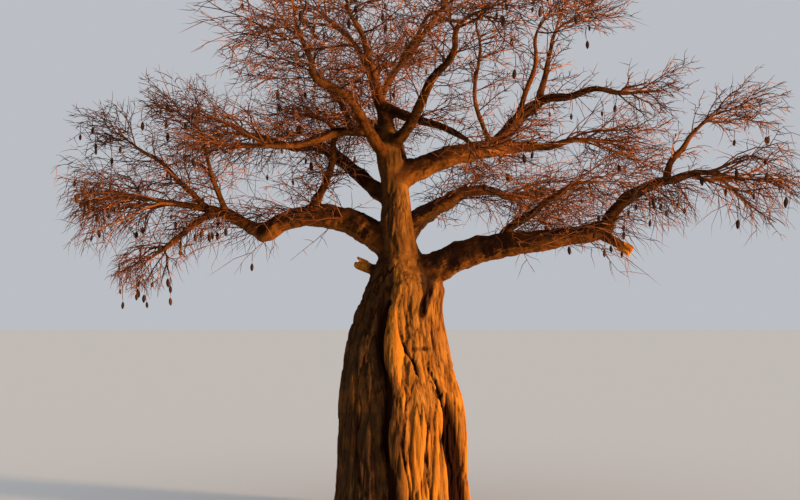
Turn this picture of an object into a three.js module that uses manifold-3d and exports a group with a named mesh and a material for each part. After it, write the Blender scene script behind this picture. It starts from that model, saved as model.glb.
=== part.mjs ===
// A bare baobab tree with its fruit, in millimetres, with +X to the right, +Y away from the viewer and +Z up.
// The origin is the middle of the flat cut at ground level. The swollen trunk carries a leader and thick
// boughs, each bough is one tapering limb, and each mass of twigs grows from the end of one bough.

import * as THREE from 'three';
import { mergeVertices } from 'three/addons/utils/BufferGeometryUtils.js';
import Module from 'manifold-3d';

const wasm = await Module();
wasm.setup();

// Driving sizes

const GAP = 0.3; // clear space left between two pieces that touch
const CUT_MARGIN = 1.2; // how much more than the gap a slanting face is moved, so that the gap stays open

const TRUNK_HEIGHT = 5250; // from the ground to the flat top that the leader stands on
const TRUNK_DEPTH = 0.92; // how deep the trunk is, as a share of how wide it is
const TRUNK_SIDES = 48;
const TRUNK_RINGS = 14;
const CORE = 0.8; // radius of the trunk between its columns, as a share of its half width
const MELT_FROM = 0.72; // how far up the trunk its columns begin to melt into a round top

const THIN_LIMB = 160; // a limb with a thinner root than this has fewer sides
const LIMB_SIDES = { thick: 8, thin: 6 };
const RING_STEP = 350; // length of limb for each ring of a short limb, and a little more for a long one
const GNARL = 0.022; // how far a limb wanders from its smooth line, as a share of its length
const COLLAR = 0.55; // how much a limb thickens where it leaves its parent, as a share of its taper
const COLLAR_FADE = 9;
const CHECKS = 24; // places along a limb where a twig's distance to it is measured

const SPREAD = 0.62; // how far a mass's space reaches from its stem, as a share of its reach
const CLEARANCE = 14; // space kept between a twig and a limb or a twig of another mass
const FORKS = [5, 2, 0]; // how many twigs leave each twig, by level. The mass's stem is level 0
const FORKS_FROM = 0.14; // where the first of them leaves, from 0 at the twig's root to 1 at its tip
const FORKS_TO = 0.84; // and the last
const STAGGER = [0.2, 0.8]; // where in its own part of that stretch a twig leaves
const STEPS = [4, 2, 1]; // straight pieces in a twig, by level
const SIDES = [5, 3, 3]; // sides of a twig, by level
const SHARE = [0.82, 0.7, 0.5]; // a twig's length as a share of its mass's reach or of its parent, by level
const LENGTHS = [0.8, 1.3]; // the least and most that chance makes of that length
const LENGTH_AT = [1.25, 0.65]; // and what its place makes of it, from the parent's root to the parent's tip
const SLIMMER = [0.6, 0.8]; // a twig's thickness as a share of its parent's, where it leaves it
const FINEST = 9; // the least half thickness at a twig's root
const CROOK = 0.05; // how far a twig wanders from its smooth line, as a share of its length
const FORK_ANGLES = [40, 68]; // degrees
const GOLDEN_ANGLE = 137.5; // degrees from one twig to the next round their parent
const STRAY = 40; // degrees that a twig may stray to either side of that
const FLATTEN = 0.6; // how much of a fork's upward or downward turn is kept
const OUTWARD = 0.45; // how strongly a twig bends away from the trunk
const HANGS = [0.3, 1.1]; // how much of its mass's hang a twig takes

const FRUIT_CHANCE = 0.11;
const FRUIT = { length: 190, girth: 48, sides: 4, place: 0.6, stalkGirth: 7, stalkSides: 3 };
const FRUIT_OUTLINE = [[0, 0], [0.9, 0.3], [0.85, 0.75], [0, 1]]; // shares of its girth and of its length
const STALK = [150, 330]; // the shortest and longest that a fruit hangs below its twig

// The trunk's outline: height, half width, and how far its middle lies to the right of the origin.
const PROFILE = [
  [0, 1480, 10],
  [500, 1365, 10],
  [2000, 1290, 20],
  [3100, 1095, -65],
  [3650, 985, -60],
  [4150, 865, 0],
  [4600, 765, 110],
  [TRUNK_HEIGHT, 405, 25],
];

// The trunk is a bundle of grown-together columns. Each has its bearing at the ground and at the fork, in
// degrees from +X towards +Y, and its own half width as a share of the trunk's.
const COLUMNS = [
  [-147, -158, 0.62],
  [-91, -92, 0.2],
  [-74, -62, 0.27],
  [-56, -40, 0.27],
  [-12, -12, 0.33],
  [28, 18, 0.42],
  [66, 62, 0.3],
  [103, 106, 0.42],
  [148, 152, 0.4],
];

// Every limb: the limb it leaves, where on it (0 at its root, 1 at its tip), the bearing it takes, how far it
// reaches sideways and how far it rises, how high its middle arches over the straight line and how far along
// that arch peaks, how far it swings to its left, and its half thickness at the root and the tip.
const LIMBS = {
  leader: { from: 'trunk', at: 0.97, bearing: 162, reach: 330, rise: 2590, girth: [345, 225] },
  leader_top: {
    from: 'leader', at: 0.98, bearing: 142, reach: 820, rise: 1940, swing: -190, girth: [165, 60],
  },
  right_low: {
    from: 'trunk', at: 0.82, bearing: -13, reach: 4150, rise: 1370, arch: 420, peak: 0.3, swing: -150,
    girth: [330, 145],
  },
  right_elbow: {
    from: 'right_low', at: 0.97, bearing: -14, reach: 1290, rise: 910, arch: 290, peak: 0.4, girth: [128, 84],
  },
  right_stub: { from: 'right_low', at: 0.93, bearing: -25, reach: 620, rise: -380, girth: [120, 66] },
  right_mid: {
    from: 'right_low', at: 0.45, bearing: 32, reach: 1650, rise: 1130, arch: 90, girth: [95, 55],
  },
  right_high: {
    from: 'right_elbow', at: 0.9, bearing: 28, reach: 730, rise: 1010, arch: 140, peak: 0.35, girth: [66, 40],
  },
  upper_right: {
    from: 'leader', at: 0.62, bearing: 13, reach: 2270, rise: 730, arch: 150, peak: 0.4, girth: [250, 170],
  },
  upper_right_end: {
    from: 'upper_right', at: 0.97, bearing: 18, reach: 1350, rise: 150, girth: [140, 75],
  },
  up_right: { from: 'upper_right', at: 0.93, bearing: 0, reach: 1010, rise: 1030, arch: 90, girth: [150, 105] },
  up_right_out: {
    from: 'up_right', at: 0.96, bearing: -22, reach: 1400, rise: 130, arch: 40, girth: [98, 52],
  },
  up_right_top: {
    from: 'up_right', at: 0.94, bearing: 55, reach: 560, rise: 1250, arch: 0, girth: [78, 42],
  },
  upright: { from: 'upper_right', at: 0.9, bearing: 245, reach: 620, rise: 2250, swing: -170, girth: [52, 28] },
  inner_right: {
    from: 'leader_top', at: 0.28, bearing: -32, reach: 1950, rise: -790, arch: 60, girth: [120, 52],
  },
  left_stub: { from: 'trunk', at: 0.88, bearing: 178, reach: 960, rise: 420, girth: [150, 92] },
  left_low: {
    from: 'trunk', at: 0.97, bearing: 168, reach: 2980, rise: 500, arch: 690, peak: 0.46, girth: [300, 172],
  },
  left_out: {
    from: 'left_low', at: 0.96, bearing: 178, reach: 1470, rise: 560, arch: 80, girth: [152, 74],
  },
  left_drop: { from: 'left_out', at: 0.72, bearing: 205, reach: 830, rise: -640, arch: 40, girth: [72, 58] },
  left_rise_outer: {
    from: 'left_out', at: 0.86, bearing: 170, reach: 1180, rise: 1110, arch: 60, girth: [66, 36],
  },
  left_rise_inner: {
    from: 'left_out', at: 0.55, bearing: 232, reach: 620, rise: 1350, arch: 120, swing: -140, girth: [60, 34],
  },
  left_riser: {
    from: 'left_low', at: 0.66, bearing: -35, reach: 640, rise: 1420, swing: 200, girth: [105, 60],
  },
  upper_left: {
    from: 'leader', at: 0.96, bearing: 204, reach: 2120, rise: -260, arch: 190, peak: 0.4, girth: [125, 68],
  },
  top_right: {
    from: 'leader_top', at: 0.4, bearing: 32, reach: 1560, rise: 2130, arch: 60, girth: [74, 40],
  },
  back_right: {
    from: 'leader', at: 0.08, bearing: 56, reach: 4000, rise: 1550, arch: 420, peak: 0.4, swing: 260,
    girth: [250, 88],
  },
  back: {
    from: 'leader', at: 0.72, bearing: 98, reach: 3500, rise: 1500, arch: 300, swing: -260, girth: [160, 66],
  },
  back_left: {
    from: 'leader', at: 0.42, bearing: 134, reach: 4050, rise: 1750, arch: 380, swing: 200, girth: [165, 70],
  },
  front_left: {
    from: 'leader', at: 0.8, bearing: 246, reach: 3350, rise: 1350, arch: 330, swing: -220, girth: [120, 58],
  },
  front_right: {
    from: 'leader', at: 0.9, bearing: 292, reach: 3250, rise: 1350, arch: 300, swing: 240, girth: [115, 56],
  },
  inner_top: { from: 'top_right', at: 0.35, bearing: 300, reach: 1150, rise: 800, arch: 60, girth: [56, 36] },
  inner_left: { from: 'upper_left', at: 0.35, bearing: 128, reach: 900, rise: 1050, arch: 80, girth: [70, 42] },
  inner_front: {
    from: 'up_right', at: 0.35, bearing: 300, reach: 900, rise: 1450, swing: 120, girth: [64, 38],
  },
  front: { from: 'leader_top', at: 0.42, bearing: 262, reach: 2500, rise: 900, arch: 180, girth: [80, 44] },
  back_top: { from: 'leader_top', at: 0.6, bearing: 80, reach: 2200, rise: 950, arch: 160, girth: [70, 42] },
};

// Every mass of twigs: the limb it ends, the bearing and rise of its middle line in degrees, how far it
// reaches along that line, how much its twigs hang, and the length of its fruit's stalks where they are long.
const MASSES = {
  right_far: { limb: 'right_elbow', bearing: -2, rise: 0, reach: 2150, hang: 0.75 },
  right_high: { limb: 'right_high', bearing: 2, rise: 2, reach: 1650, hang: 0.15 },
  right_mid: { limb: 'right_mid', bearing: 20, rise: 2, reach: 2000, hang: 0.3 },
  upper_right: { limb: 'upper_right_end', bearing: 14, rise: 0, reach: 2100, hang: 0.2 },
  up_right_out: { limb: 'up_right_out', bearing: -8, rise: 12, reach: 1500, hang: 0.2 },
  up_right_top: { limb: 'up_right_top', bearing: -4, rise: 14, reach: 2100, hang: 0 },
  upright: { limb: 'upright', bearing: -20, rise: 30, reach: 1250, hang: 0 },
  inner_right: { limb: 'inner_right', bearing: -22, rise: 34, reach: 1750, hang: 0.1 },
  left_far: { limb: 'left_out', bearing: 176, rise: 13, reach: 2750, hang: 0.6 },
  left_outer: { limb: 'left_rise_outer', bearing: 178, rise: 34, reach: 1500, hang: 0.1 },
  left_inner: { limb: 'left_rise_inner', bearing: 187, rise: 20, reach: 1600, hang: 0.1 },
  left_drop: { limb: 'left_drop', bearing: 200, rise: -38, reach: 1150, hang: 1.1, stalk: [350, 950] },
  left_riser: { limb: 'left_riser', bearing: 150, rise: 8, reach: 1900, hang: 0.1 },
  upper_left: { limb: 'upper_left', bearing: 186, rise: 26, reach: 2350, hang: 0.15 },
  leader_top: { limb: 'leader_top', bearing: 180, rise: 20, reach: 2250, hang: 0 },
  top_right: { limb: 'top_right', bearing: 20, rise: 12, reach: 1650, hang: 0.1 },
  back_right: { limb: 'back_right', bearing: 50, rise: 8, reach: 2700, hang: 0.3 },
  back: { limb: 'back', bearing: 96, rise: 6, reach: 2600, hang: 0.2 },
  back_left: { limb: 'back_left', bearing: 140, rise: 8, reach: 2700, hang: 0.3 },
  front_left: { limb: 'front_left', bearing: 232, rise: 8, reach: 2600, hang: 0.15 },
  front_right: { limb: 'front_right', bearing: 312, rise: 6, reach: 2700, hang: 0.15 },
  inner_top: { limb: 'inner_top', bearing: 318, rise: 10, reach: 1700, hang: 0 },
  inner_left: { limb: 'inner_left', bearing: 160, rise: 4, reach: 2200, hang: 0.1 },
  inner_front: { limb: 'inner_front', bearing: -30, rise: 20, reach: 1800, hang: 0.1 },
  front: { limb: 'front', bearing: 268, rise: 14, reach: 2100, hang: 0 },
  back_top: { limb: 'back_top', bearing: 70, rise: 14, reach: 2000, hang: 0 },
};

// Seeded numbers

// Each choice has a draw of its own, so that one never changes another.
const DRAW = {
  sway: [1, 2],
  lift: [3, 4],
  place: 5,
  around: 6,
  lean: 7,
  hang: 8,
  length: 9,
  girth: 10,
  stalk: 11,
  fruit: 12,
  start: 13,
  child: 50,
};

// A number from 0 to 1 that depends only on the seed and on which draw it is.
function chance(seed, draw) {
  let mixed = Math.imul(seed ^ Math.imul(draw + 1, 0x9e3779b1), 0x85ebca6b);
  mixed = Math.imul(mixed ^ (mixed >>> 13), 0xc2b2ae35);
  return ((mixed ^ (mixed >>> 16)) >>> 0) / 4294967296;
}

// The same from low to high.
const between = (low, high, seed, draw) => low + (high - low) * chance(seed, draw);

// A wander to one side and back, the sum of a slow and a quick wave, for a place from 0 to 1 along a limb.
function wander(seed, [slow, quick], waves, along) {
  const first = Math.sin(Math.PI * waves * along) * between(-1, 1, seed, slow);
  return first + Math.sin(Math.PI * (waves + 1) * along) * between(-1, 1, seed, quick);
}

// The seed of a twig's child.
const nextSeed = (seed, child) => Math.floor(chance(seed, DRAW.child + child) * 0x7fffffff);

// Directions

const radians = THREE.MathUtils.degToRad;
const UP = new THREE.Vector3(0, 0, 1);

// A unit vector with that bearing from +X towards +Y and that rise over the horizon, both in degrees.
function heading(bearing, rise = 0) {
  const flat = Math.cos(radians(rise));
  const turn = radians(bearing);
  return new THREE.Vector3(flat * Math.cos(turn), flat * Math.sin(turn), Math.sin(radians(rise)));
}

// Two unit vectors at right angles to a direction and to each other.
function across(direction) {
  const hint = Math.abs(direction.z) < 0.9 ? UP : new THREE.Vector3(1, 0, 0);
  const first = new THREE.Vector3().crossVectors(hint, direction).normalize();
  return [first, new THREE.Vector3().crossVectors(direction, first)];
}

// What a function gives at even steps from 0 to 1.
const evenly = (steps, make) => Array.from({ length: steps + 1 }, (_, i) => make(i / steps));

// Solids

// A closed geometry as a solid that can be joined and cut, without the faces that shrank to nothing.
function solidFrom(geometry) {
  const bare = new THREE.BufferGeometry().setAttribute('position', geometry.getAttribute('position'));
  const merged = mergeVertices(bare.setIndex(geometry.index), 1e-3);
  const faces = [];
  for (let i = 0; i < merged.index.count; i += 3) {
    const [a, b, c] = merged.index.array.subarray(i, i + 3);
    if (a !== b && b !== c && c !== a) faces.push(a, b, c);
  }
  return new wasm.Manifold(
    new wasm.Mesh({
      numProp: 3,
      vertProperties: new Float32Array(merged.attributes.position.array),
      triVerts: new Uint32Array(faces),
    }),
  );
}

// The largest body of a solid, as a geometry.
function geometryFrom(solid) {
  const bodies = solid.decompose();
  const largest = bodies.reduce((a, b) => (b.volume() > a.volume() ? b : a));
  const mesh = largest.getMesh();
  const flat = new THREE.BufferGeometry()
    .setAttribute('position', new THREE.BufferAttribute(new Float32Array(mesh.vertProperties), 3))
    .setIndex(new THREE.BufferAttribute(new Uint32Array(mesh.triVerts), 1))
    .toNonIndexed();
  flat.computeVertexNormals();
  return flat;
}

// The direction of a line of points at each of them, with two directions across it that don't twist.
function framesAlong(points) {
  let [first] = across(points[1].clone().sub(points[0]).normalize());
  return points.map((_, i) => {
    const ahead = points[Math.min(i + 1, points.length - 1)];
    const tangent = ahead.clone().sub(points[Math.max(i - 1, 0)]).normalize();
    first = first.clone().addScaledVector(tangent, -first.dot(tangent)).normalize();
    return { tangent, first, second: new THREE.Vector3().crossVectors(tangent, first) };
  });
}

// A round bar with a ring at each point, as thick as its girth there. Where that is 0 the bar runs to a point.
// Its two ends can be moved outwards by some millimetres.
function barAlong(points, girths, sides, longer = 0) {
  const steps = points.length - 1;
  const frames = framesAlong(points);
  const shape = new THREE.CylinderGeometry(1, 1, 1, sides, steps);
  const place = shape.getAttribute('position');
  for (let i = 0; i < place.count; i++) {
    const ring = Math.round((place.getY(i) + 0.5) * steps);
    const end = ring === 0 ? -longer : ring === steps ? longer : 0;
    const { tangent, first, second } = frames[ring];
    const at = points[ring]
      .clone()
      .addScaledVector(tangent, end)
      .addScaledVector(first, place.getX(i) * girths[ring])
      .addScaledVector(second, -place.getZ(i) * girths[ring]);
    place.setXYZ(i, at.x, at.y, at.z);
  }
  return solidFrom(shape);
}

// The trunk

// A smooth value at a height, through one column of the trunk's outline.
function profileAt(height, column) {
  let i = 0;
  while (i < PROFILE.length - 2 && height > PROFILE[i + 1][0]) i++;
  const slope = (j) => {
    const before = PROFILE[Math.max(j - 1, 0)];
    const after = PROFILE[Math.min(j + 1, PROFILE.length - 1)];
    return (after[column] - before[column]) / (after[0] - before[0]);
  };
  const span = PROFILE[i + 1][0] - PROFILE[i][0];
  const t = (height - PROFILE[i][0]) / span;
  const start = PROFILE[i][column] * (1 + 2 * t) * (1 - t) ** 2 + slope(i) * span * t * (1 - t) ** 2;
  const end = PROFILE[i + 1][column] * t * t * (3 - 2 * t) + slope(i + 1) * span * t * t * (t - 1);
  return start + end;
}

// The point on the middle line of the trunk, from 0 at the ground to 1 at its flat top.
function trunkLine(along) {
  const height = along * TRUNK_HEIGHT;
  return new THREE.Vector3(profileAt(height, 2), 0, height);
}

// The trunk's half width in one direction: the outermost of its columns, which melt into a round top.
function trunkRadius(turn, height) {
  const half = profileAt(height, 1);
  const climb = height / TRUNK_HEIGHT;
  let outermost = CORE;
  for (const [low, high, width] of COLUMNS) {
    const off = turn - radians(low + (high - low) * climb);
    const reach = 1 - width;
    const inside = width ** 2 - (reach * Math.sin(off)) ** 2;
    if (inside > 0 && Math.cos(off) > 0) {
      outermost = Math.max(outermost, reach * Math.cos(off) + Math.sqrt(inside));
    }
  }
  const melt = THREE.MathUtils.smoothstep(climb, MELT_FROM, 1);
  return half * (outermost + (1 - outermost) * melt);
}

// The trunk as a solid, grown by some millimetres on every side where a neighbour is to be cut clear of it.
function trunkSolid(grow = 0) {
  const shape = new THREE.CylinderGeometry(1, 1, 1, TRUNK_SIDES, TRUNK_RINGS);
  const place = shape.getAttribute('position');
  for (let i = 0; i < place.count; i++) {
    const ring = Math.round((place.getY(i) + 0.5) * TRUNK_RINGS);
    const height = TRUNK_HEIGHT * (ring / TRUNK_RINGS) ** 1.15;
    const share = Math.hypot(place.getX(i), place.getZ(i));
    const turn = Math.atan2(-place.getZ(i), place.getX(i));
    const radius = share * (trunkRadius(turn, height) + grow * CUT_MARGIN);
    const foot = trunkLine(height / TRUNK_HEIGHT);
    const lift = ring === 0 ? -grow : ring === TRUNK_RINGS ? grow : 0;
    place.setXYZ(
      i,
      foot.x + radius * Math.cos(turn),
      foot.y + radius * Math.sin(turn) * TRUNK_DEPTH,
      height + lift,
    );
  }
  return solidFrom(shape);
}

// The limbs

// The point on a limb's middle line, from 0 at its root, inside its parent, to 1 at its tip.
function limbLine(name, along) {
  if (name === 'trunk') return trunkLine(along);
  const { from, at, bearing, reach, rise, arch = 0, peak = 0.5, swing = 0 } = LIMBS[name];
  const seed = Object.keys(LIMBS).indexOf(name) + 1;
  const hump = Math.sin(Math.PI * along ** (Math.log(0.5) / Math.log(peak)));
  const gnarl = Math.hypot(reach, rise) * GNARL;
  return limbLine(from, at)
    .addScaledVector(heading(bearing), reach * along)
    .addScaledVector(heading(bearing + 90), swing * hump + gnarl * wander(seed, DRAW.sway, 2, along))
    .addScaledVector(UP, rise * along + arch * hump + gnarl * wander(seed, DRAW.lift, 2, along));
}

// A limb's half thickness, with the collar where it leaves its parent.
function limbGirth(name, along) {
  if (name === 'trunk') return profileAt(along * TRUNK_HEIGHT, 1);
  const [root, tip] = LIMBS[name].girth;
  return root + (tip - root) * along + COLLAR * (root - tip) * Math.exp(-COLLAR_FADE * along);
}

// The direction of a limb at its tip.
function limbEnd(name) {
  return limbLine(name, 1).sub(limbLine(name, 0.96)).normalize();
}

// A limb as a solid, grown where a neighbour is to be cut clear of it.
function limbSolid(name, grow = 0) {
  const { reach, rise } = LIMBS[name];
  const steps = Math.max(3, Math.round((Math.hypot(reach, rise) / RING_STEP) ** 0.8));
  const points = evenly(steps, (along) => limbLine(name, along));
  const girths = evenly(steps, (along) => limbGirth(name, along) + grow * CUT_MARGIN);
  const sides = LIMBS[name].girth[0] < THIN_LIMB ? LIMB_SIDES.thin : LIMB_SIDES.thick;
  return barAlong(points, girths, sides, grow);
}

// Twigs

// Balls along every limb that the twigs keep clear of.
function limbBalls() {
  return ['trunk', ...Object.keys(LIMBS)].flatMap((name) =>
    evenly(CHECKS, (along) => ({ centre: limbLine(name, along), radius: limbGirth(name, along), limb: name })),
  );
}

// A twig's middle line: it leaves one way, bends to another, and wanders a little.
function twigPoint({ root, way, aim, length, seed }, along) {
  const [left, over] = across(way);
  return root
    .clone()
    .addScaledVector(way, length * (along - along ** 2 / 2))
    .addScaledVector(aim, (length * along ** 2) / 2)
    .addScaledVector(left, length * CROOK * wander(seed, DRAW.sway, 1, along))
    .addScaledVector(over, length * CROOK * wander(seed, DRAW.lift, 1, along));
}

// The point on a twig's straight pieces, where what it carries is rooted.
function placeOn(twig, along) {
  const steps = STEPS[twig.level];
  const before = Math.min(Math.floor(along * steps), steps - 1);
  const next = twigPoint(twig, (before + 1) / steps);
  return twigPoint(twig, before / steps).lerp(next, along * steps - before);
}

const twigGirth = (twig, along) => twig.girth * (1 - along);
const twigWay = (twig, along) => twig.way.clone().lerp(twig.aim, along).normalize();

// The twig that a mass starts with. It carries on from its limb's tip.
function stemOf(name) {
  const { limb, bearing, rise, reach, hang } = MASSES[name];
  const seed = Object.keys(MASSES).indexOf(name) + 101;
  const way = limbEnd(limb);
  const root = limbLine(limb, 1).addScaledVector(way, GAP);
  const aim = heading(bearing, rise);
  return { level: 0, seed, root, way, aim, length: reach * SHARE[0], girth: limbGirth(limb, 1), hang };
}

// One of the twigs that leave a twig. It is rooted on its parent's middle line, and sunk is how far along it
// its parent's bark lies.
function childOf(twig, child) {
  const level = twig.level + 1;
  const seed = nextSeed(twig.seed, child);
  const place = (child + between(...STAGGER, seed, DRAW.place)) / FORKS[twig.level];
  const along = FORKS_FROM + (FORKS_TO - FORKS_FROM) * place;
  const way = twigWay(twig, along);
  const [left, over] = across(way);
  const start = between(0, 360, twig.seed, DRAW.start);
  const around = radians(start + child * GOLDEN_ANGLE + between(-STRAY, STRAY, seed, DRAW.around));
  const lean = radians(between(...FORK_ANGLES, seed, DRAW.lean));
  const side = left.multiplyScalar(Math.cos(around)).addScaledVector(over, Math.sin(around));
  side.z *= FLATTEN;
  const leaving = way.multiplyScalar(Math.cos(lean)).addScaledVector(side, Math.sin(lean)).normalize();
  const root = placeOn(twig, along);
  const outward = new THREE.Vector3(root.x, root.y, 0).normalize();
  const aim = leaving
    .clone()
    .addScaledVector(outward, OUTWARD)
    .addScaledVector(UP, -twig.hang * between(...HANGS, seed, DRAW.hang))
    .normalize();
  const share = SHARE[level] * between(...LENGTHS, seed, DRAW.length);
  const length = twig.length * share * THREE.MathUtils.lerp(...LENGTH_AT, along);
  const girth = Math.max(twigGirth(twig, along) * between(...SLIMMER, seed, DRAW.girth), FINEST);
  const sunk = twigGirth(twig, along) / length;
  return { level, seed, root, way: leaving, aim, hang: twig.hang, length, girth, sunk };
}

// All the twigs that leave a twig.
const childrenOf = (twig) => Array.from({ length: FORKS[twig.level] }, (_, child) => childOf(twig, child));

// The straight pieces of a twig, with their half thickness.
function piecesOf(twig) {
  const points = evenly(STEPS[twig.level], (along) => twigPoint(twig, along));
  return points.slice(1).map((b, i) => ({ a: points[i], b, radius: twig.girth }));
}

// The shortest distance between two straight pieces.
function distanceBetween(p, q) {
  const u = p.b.clone().sub(p.a);
  const v = q.b.clone().sub(q.a);
  const w = p.a.clone().sub(q.a);
  const a = u.dot(u);
  const b = u.dot(v);
  const c = v.dot(v);
  const clamp = THREE.MathUtils.clamp;
  const det = a * c - b * b;
  let s = det < 1e-9 ? 0 : clamp((b * v.dot(w) - c * u.dot(w)) / det, 0, 1);
  const t = clamp((b * s + v.dot(w)) / c, 0, 1);
  s = clamp((b * t - u.dot(w)) / a, 0, 1);
  return w.addScaledVector(u, s).addScaledVector(v, -t).length();
}

const BALLS = limbBalls();
const SPINES = Object.fromEntries(Object.keys(MASSES).map((name) => [name, piecesOf(stemOf(name))]));
const placed = []; // the straight pieces of every mass so far, each with its mass's name

// How far a point is from a straight piece.
function distanceTo({ a, b }, point) {
  const line = new THREE.Line3(a, b);
  return line.closestPointToPoint(point, true, new THREE.Vector3()).distanceTo(point);
}

// How far a point is from a mass's stem, in shares of how far the mass's space reaches from it.
function farness(name, point) {
  const away = Math.min(...SPINES[name].map((piece) => distanceTo(piece, point)));
  return away / (MASSES[name].reach * SPREAD);
}

// Whether a point lies in a mass's own space: near enough to its stem, and nearer to it than to any other.
function inSpace(name, point) {
  const own = farness(name, point);
  if (own > 1) return false;
  return Object.keys(MASSES).every((other) => other === name || farness(other, point) >= own);
}

// Whether a straight piece is clear of every limb and of every other mass. A stem carries on from its own
// limb, so that limb and those that leave it aren't in its way.
function isClear(piece, mass, isStem) {
  const own = MASSES[mass].limb;
  for (const { limb, centre, radius } of BALLS) {
    if (isStem && (limb === own || LIMBS[limb]?.from === own)) continue;
    if (distanceTo(piece, centre) < radius + piece.radius + CLEARANCE) return false;
  }
  return placed.every(
    (other) => other.mass === mass || distanceBetween(piece, other) > piece.radius + other.radius + CLEARANCE,
  );
}

// A point that lies straight below another.
const below = (point, drop) => point.clone().addScaledVector(UP, -drop);

// The fruit that hangs from a twig, as the straight pieces of its stalk and its pod.
function fruitOf(twig, stalkRange) {
  const top = placeOn(twig, FRUIT.place);
  const drop = between(...stalkRange, twig.seed, DRAW.stalk);
  return {
    stalk: { a: top, b: below(top, drop + FRUIT.length / 4), radius: FRUIT.stalkGirth },
    pod: { a: below(top, drop), b: below(top, drop + FRUIT.length), radius: FRUIT.girth },
  };
}

// A fruit as a solid: a pod that narrows to both ends, fused to its stalk.
function fruitSolid({ stalk, pod }) {
  const points = FRUIT_OUTLINE.map(([x, y]) => new THREE.Vector2(x * FRUIT.girth, y * FRUIT.length));
  const lathe = new THREE.LatheGeometry(points, FRUIT.sides);
  lathe.rotateX(Math.PI / 2).translate(pod.b.x, pod.b.y, pod.b.z);
  const bar = barAlong([stalk.b, stalk.a], [FRUIT.stalkGirth, 0], FRUIT.stalkSides);
  return solidFrom(lathe).add(bar);
}

// A twig as a solid. It runs to a point at its tip, and inside its parent it starts from a point too.
function twigSolid(twig) {
  const { level, sunk } = twig;
  const rings = evenly(STEPS[level], (along) => along);
  if (sunk) rings.splice(1, 0, sunk);
  const girths = rings.map((along) => (sunk && along === 0 ? 0 : twigGirth(twig, along)));
  return barAlong(rings.map((along) => placeOn(twig, along)), girths, SIDES[level]);
}

// Whether a twig stays in its mass's space and touches nothing.
function fits(twig, mass) {
  const isStem = twig.level === 0;
  return piecesOf(twig).every((piece) => (isStem || inSpace(mass, piece.b)) && isClear(piece, mass, isStem));
}

// Grows one mass: its stem, then level by level every twig that fits, with the fruit that hangs from some.
function growMass(mass) {
  const solids = [];
  const keep = (pieces, solid) => {
    placed.push(...pieces.map((piece) => ({ ...piece, mass })));
    solids.push(solid);
  };
  let twigs = [stemOf(mass)];
  while (twigs.length) {
    const grown = twigs.filter((twig) => fits(twig, mass));
    for (const twig of grown) {
      keep(piecesOf(twig), twigSolid(twig));
      if (twig.level === 0 || chance(twig.seed, DRAW.fruit) > FRUIT_CHANCE) continue;
      const fruit = fruitOf(twig, MASSES[mass].stalk ?? STALK);
      if (isClear(fruit.stalk, mass) && isClear(fruit.pod, mass)) keep([fruit.pod], fruitSolid(fruit));
    }
    twigs = grown.flatMap(childrenOf);
  }
  return wasm.Manifold.union(solids);
}

// The tree

const bark = new THREE.MeshStandardMaterial({ color: 0x8a6040, roughness: 0.85, metalness: 0 });
const shadedBark = new THREE.MeshStandardMaterial({ color: 0x6e5340, roughness: 0.85, metalness: 0 });
const twigBark = new THREE.MeshStandardMaterial({ color: 0x6b3d24, roughness: 0.9, metalness: 0 });

const tree = new THREE.Group();

function add(name, solid, material) {
  const mesh = new THREE.Mesh(geometryFrom(solid), material);
  mesh.name = name;
  tree.add(mesh);
}

add('trunk', trunkSolid(), shadedBark);
let taken = trunkSolid(GAP);
for (const name of Object.keys(LIMBS)) {
  add(`bough_${name}`, limbSolid(name).subtract(taken), bark);
  taken = taken.add(limbSolid(name, GAP));
}
for (const name of Object.keys(MASSES)) {
  add(`twigs_${name}`, growMass(name).subtract(taken), twigBark);
}

export default tree;
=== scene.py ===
import math
from collections import namedtuple

import bpy
import numpy as np
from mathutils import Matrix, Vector, noise


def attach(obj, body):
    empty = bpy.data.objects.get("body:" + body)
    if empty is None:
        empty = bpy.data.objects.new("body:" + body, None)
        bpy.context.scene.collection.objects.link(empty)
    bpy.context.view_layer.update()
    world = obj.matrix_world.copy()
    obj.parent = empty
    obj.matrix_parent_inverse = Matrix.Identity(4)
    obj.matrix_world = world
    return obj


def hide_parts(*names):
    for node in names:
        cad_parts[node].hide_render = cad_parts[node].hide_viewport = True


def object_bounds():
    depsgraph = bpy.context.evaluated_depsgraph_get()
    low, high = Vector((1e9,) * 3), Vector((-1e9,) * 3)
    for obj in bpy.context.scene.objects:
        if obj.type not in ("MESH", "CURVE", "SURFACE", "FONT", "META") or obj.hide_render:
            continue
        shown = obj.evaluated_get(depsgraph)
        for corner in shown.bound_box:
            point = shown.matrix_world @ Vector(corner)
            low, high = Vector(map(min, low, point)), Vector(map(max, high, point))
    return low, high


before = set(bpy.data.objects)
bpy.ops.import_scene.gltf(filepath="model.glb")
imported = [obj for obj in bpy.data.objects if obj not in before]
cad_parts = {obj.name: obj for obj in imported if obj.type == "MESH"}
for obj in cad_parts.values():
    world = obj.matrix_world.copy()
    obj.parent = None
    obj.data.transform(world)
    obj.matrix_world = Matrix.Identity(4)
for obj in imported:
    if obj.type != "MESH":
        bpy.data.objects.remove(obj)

CAD_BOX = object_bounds()


# Trunk
# One swollen stem of soft, wet wood: columns grown together round a core, with clefts between them. It
# flares at the ground, where it is cut flat, and melts into a round top below the fork. All is in metres.

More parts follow.
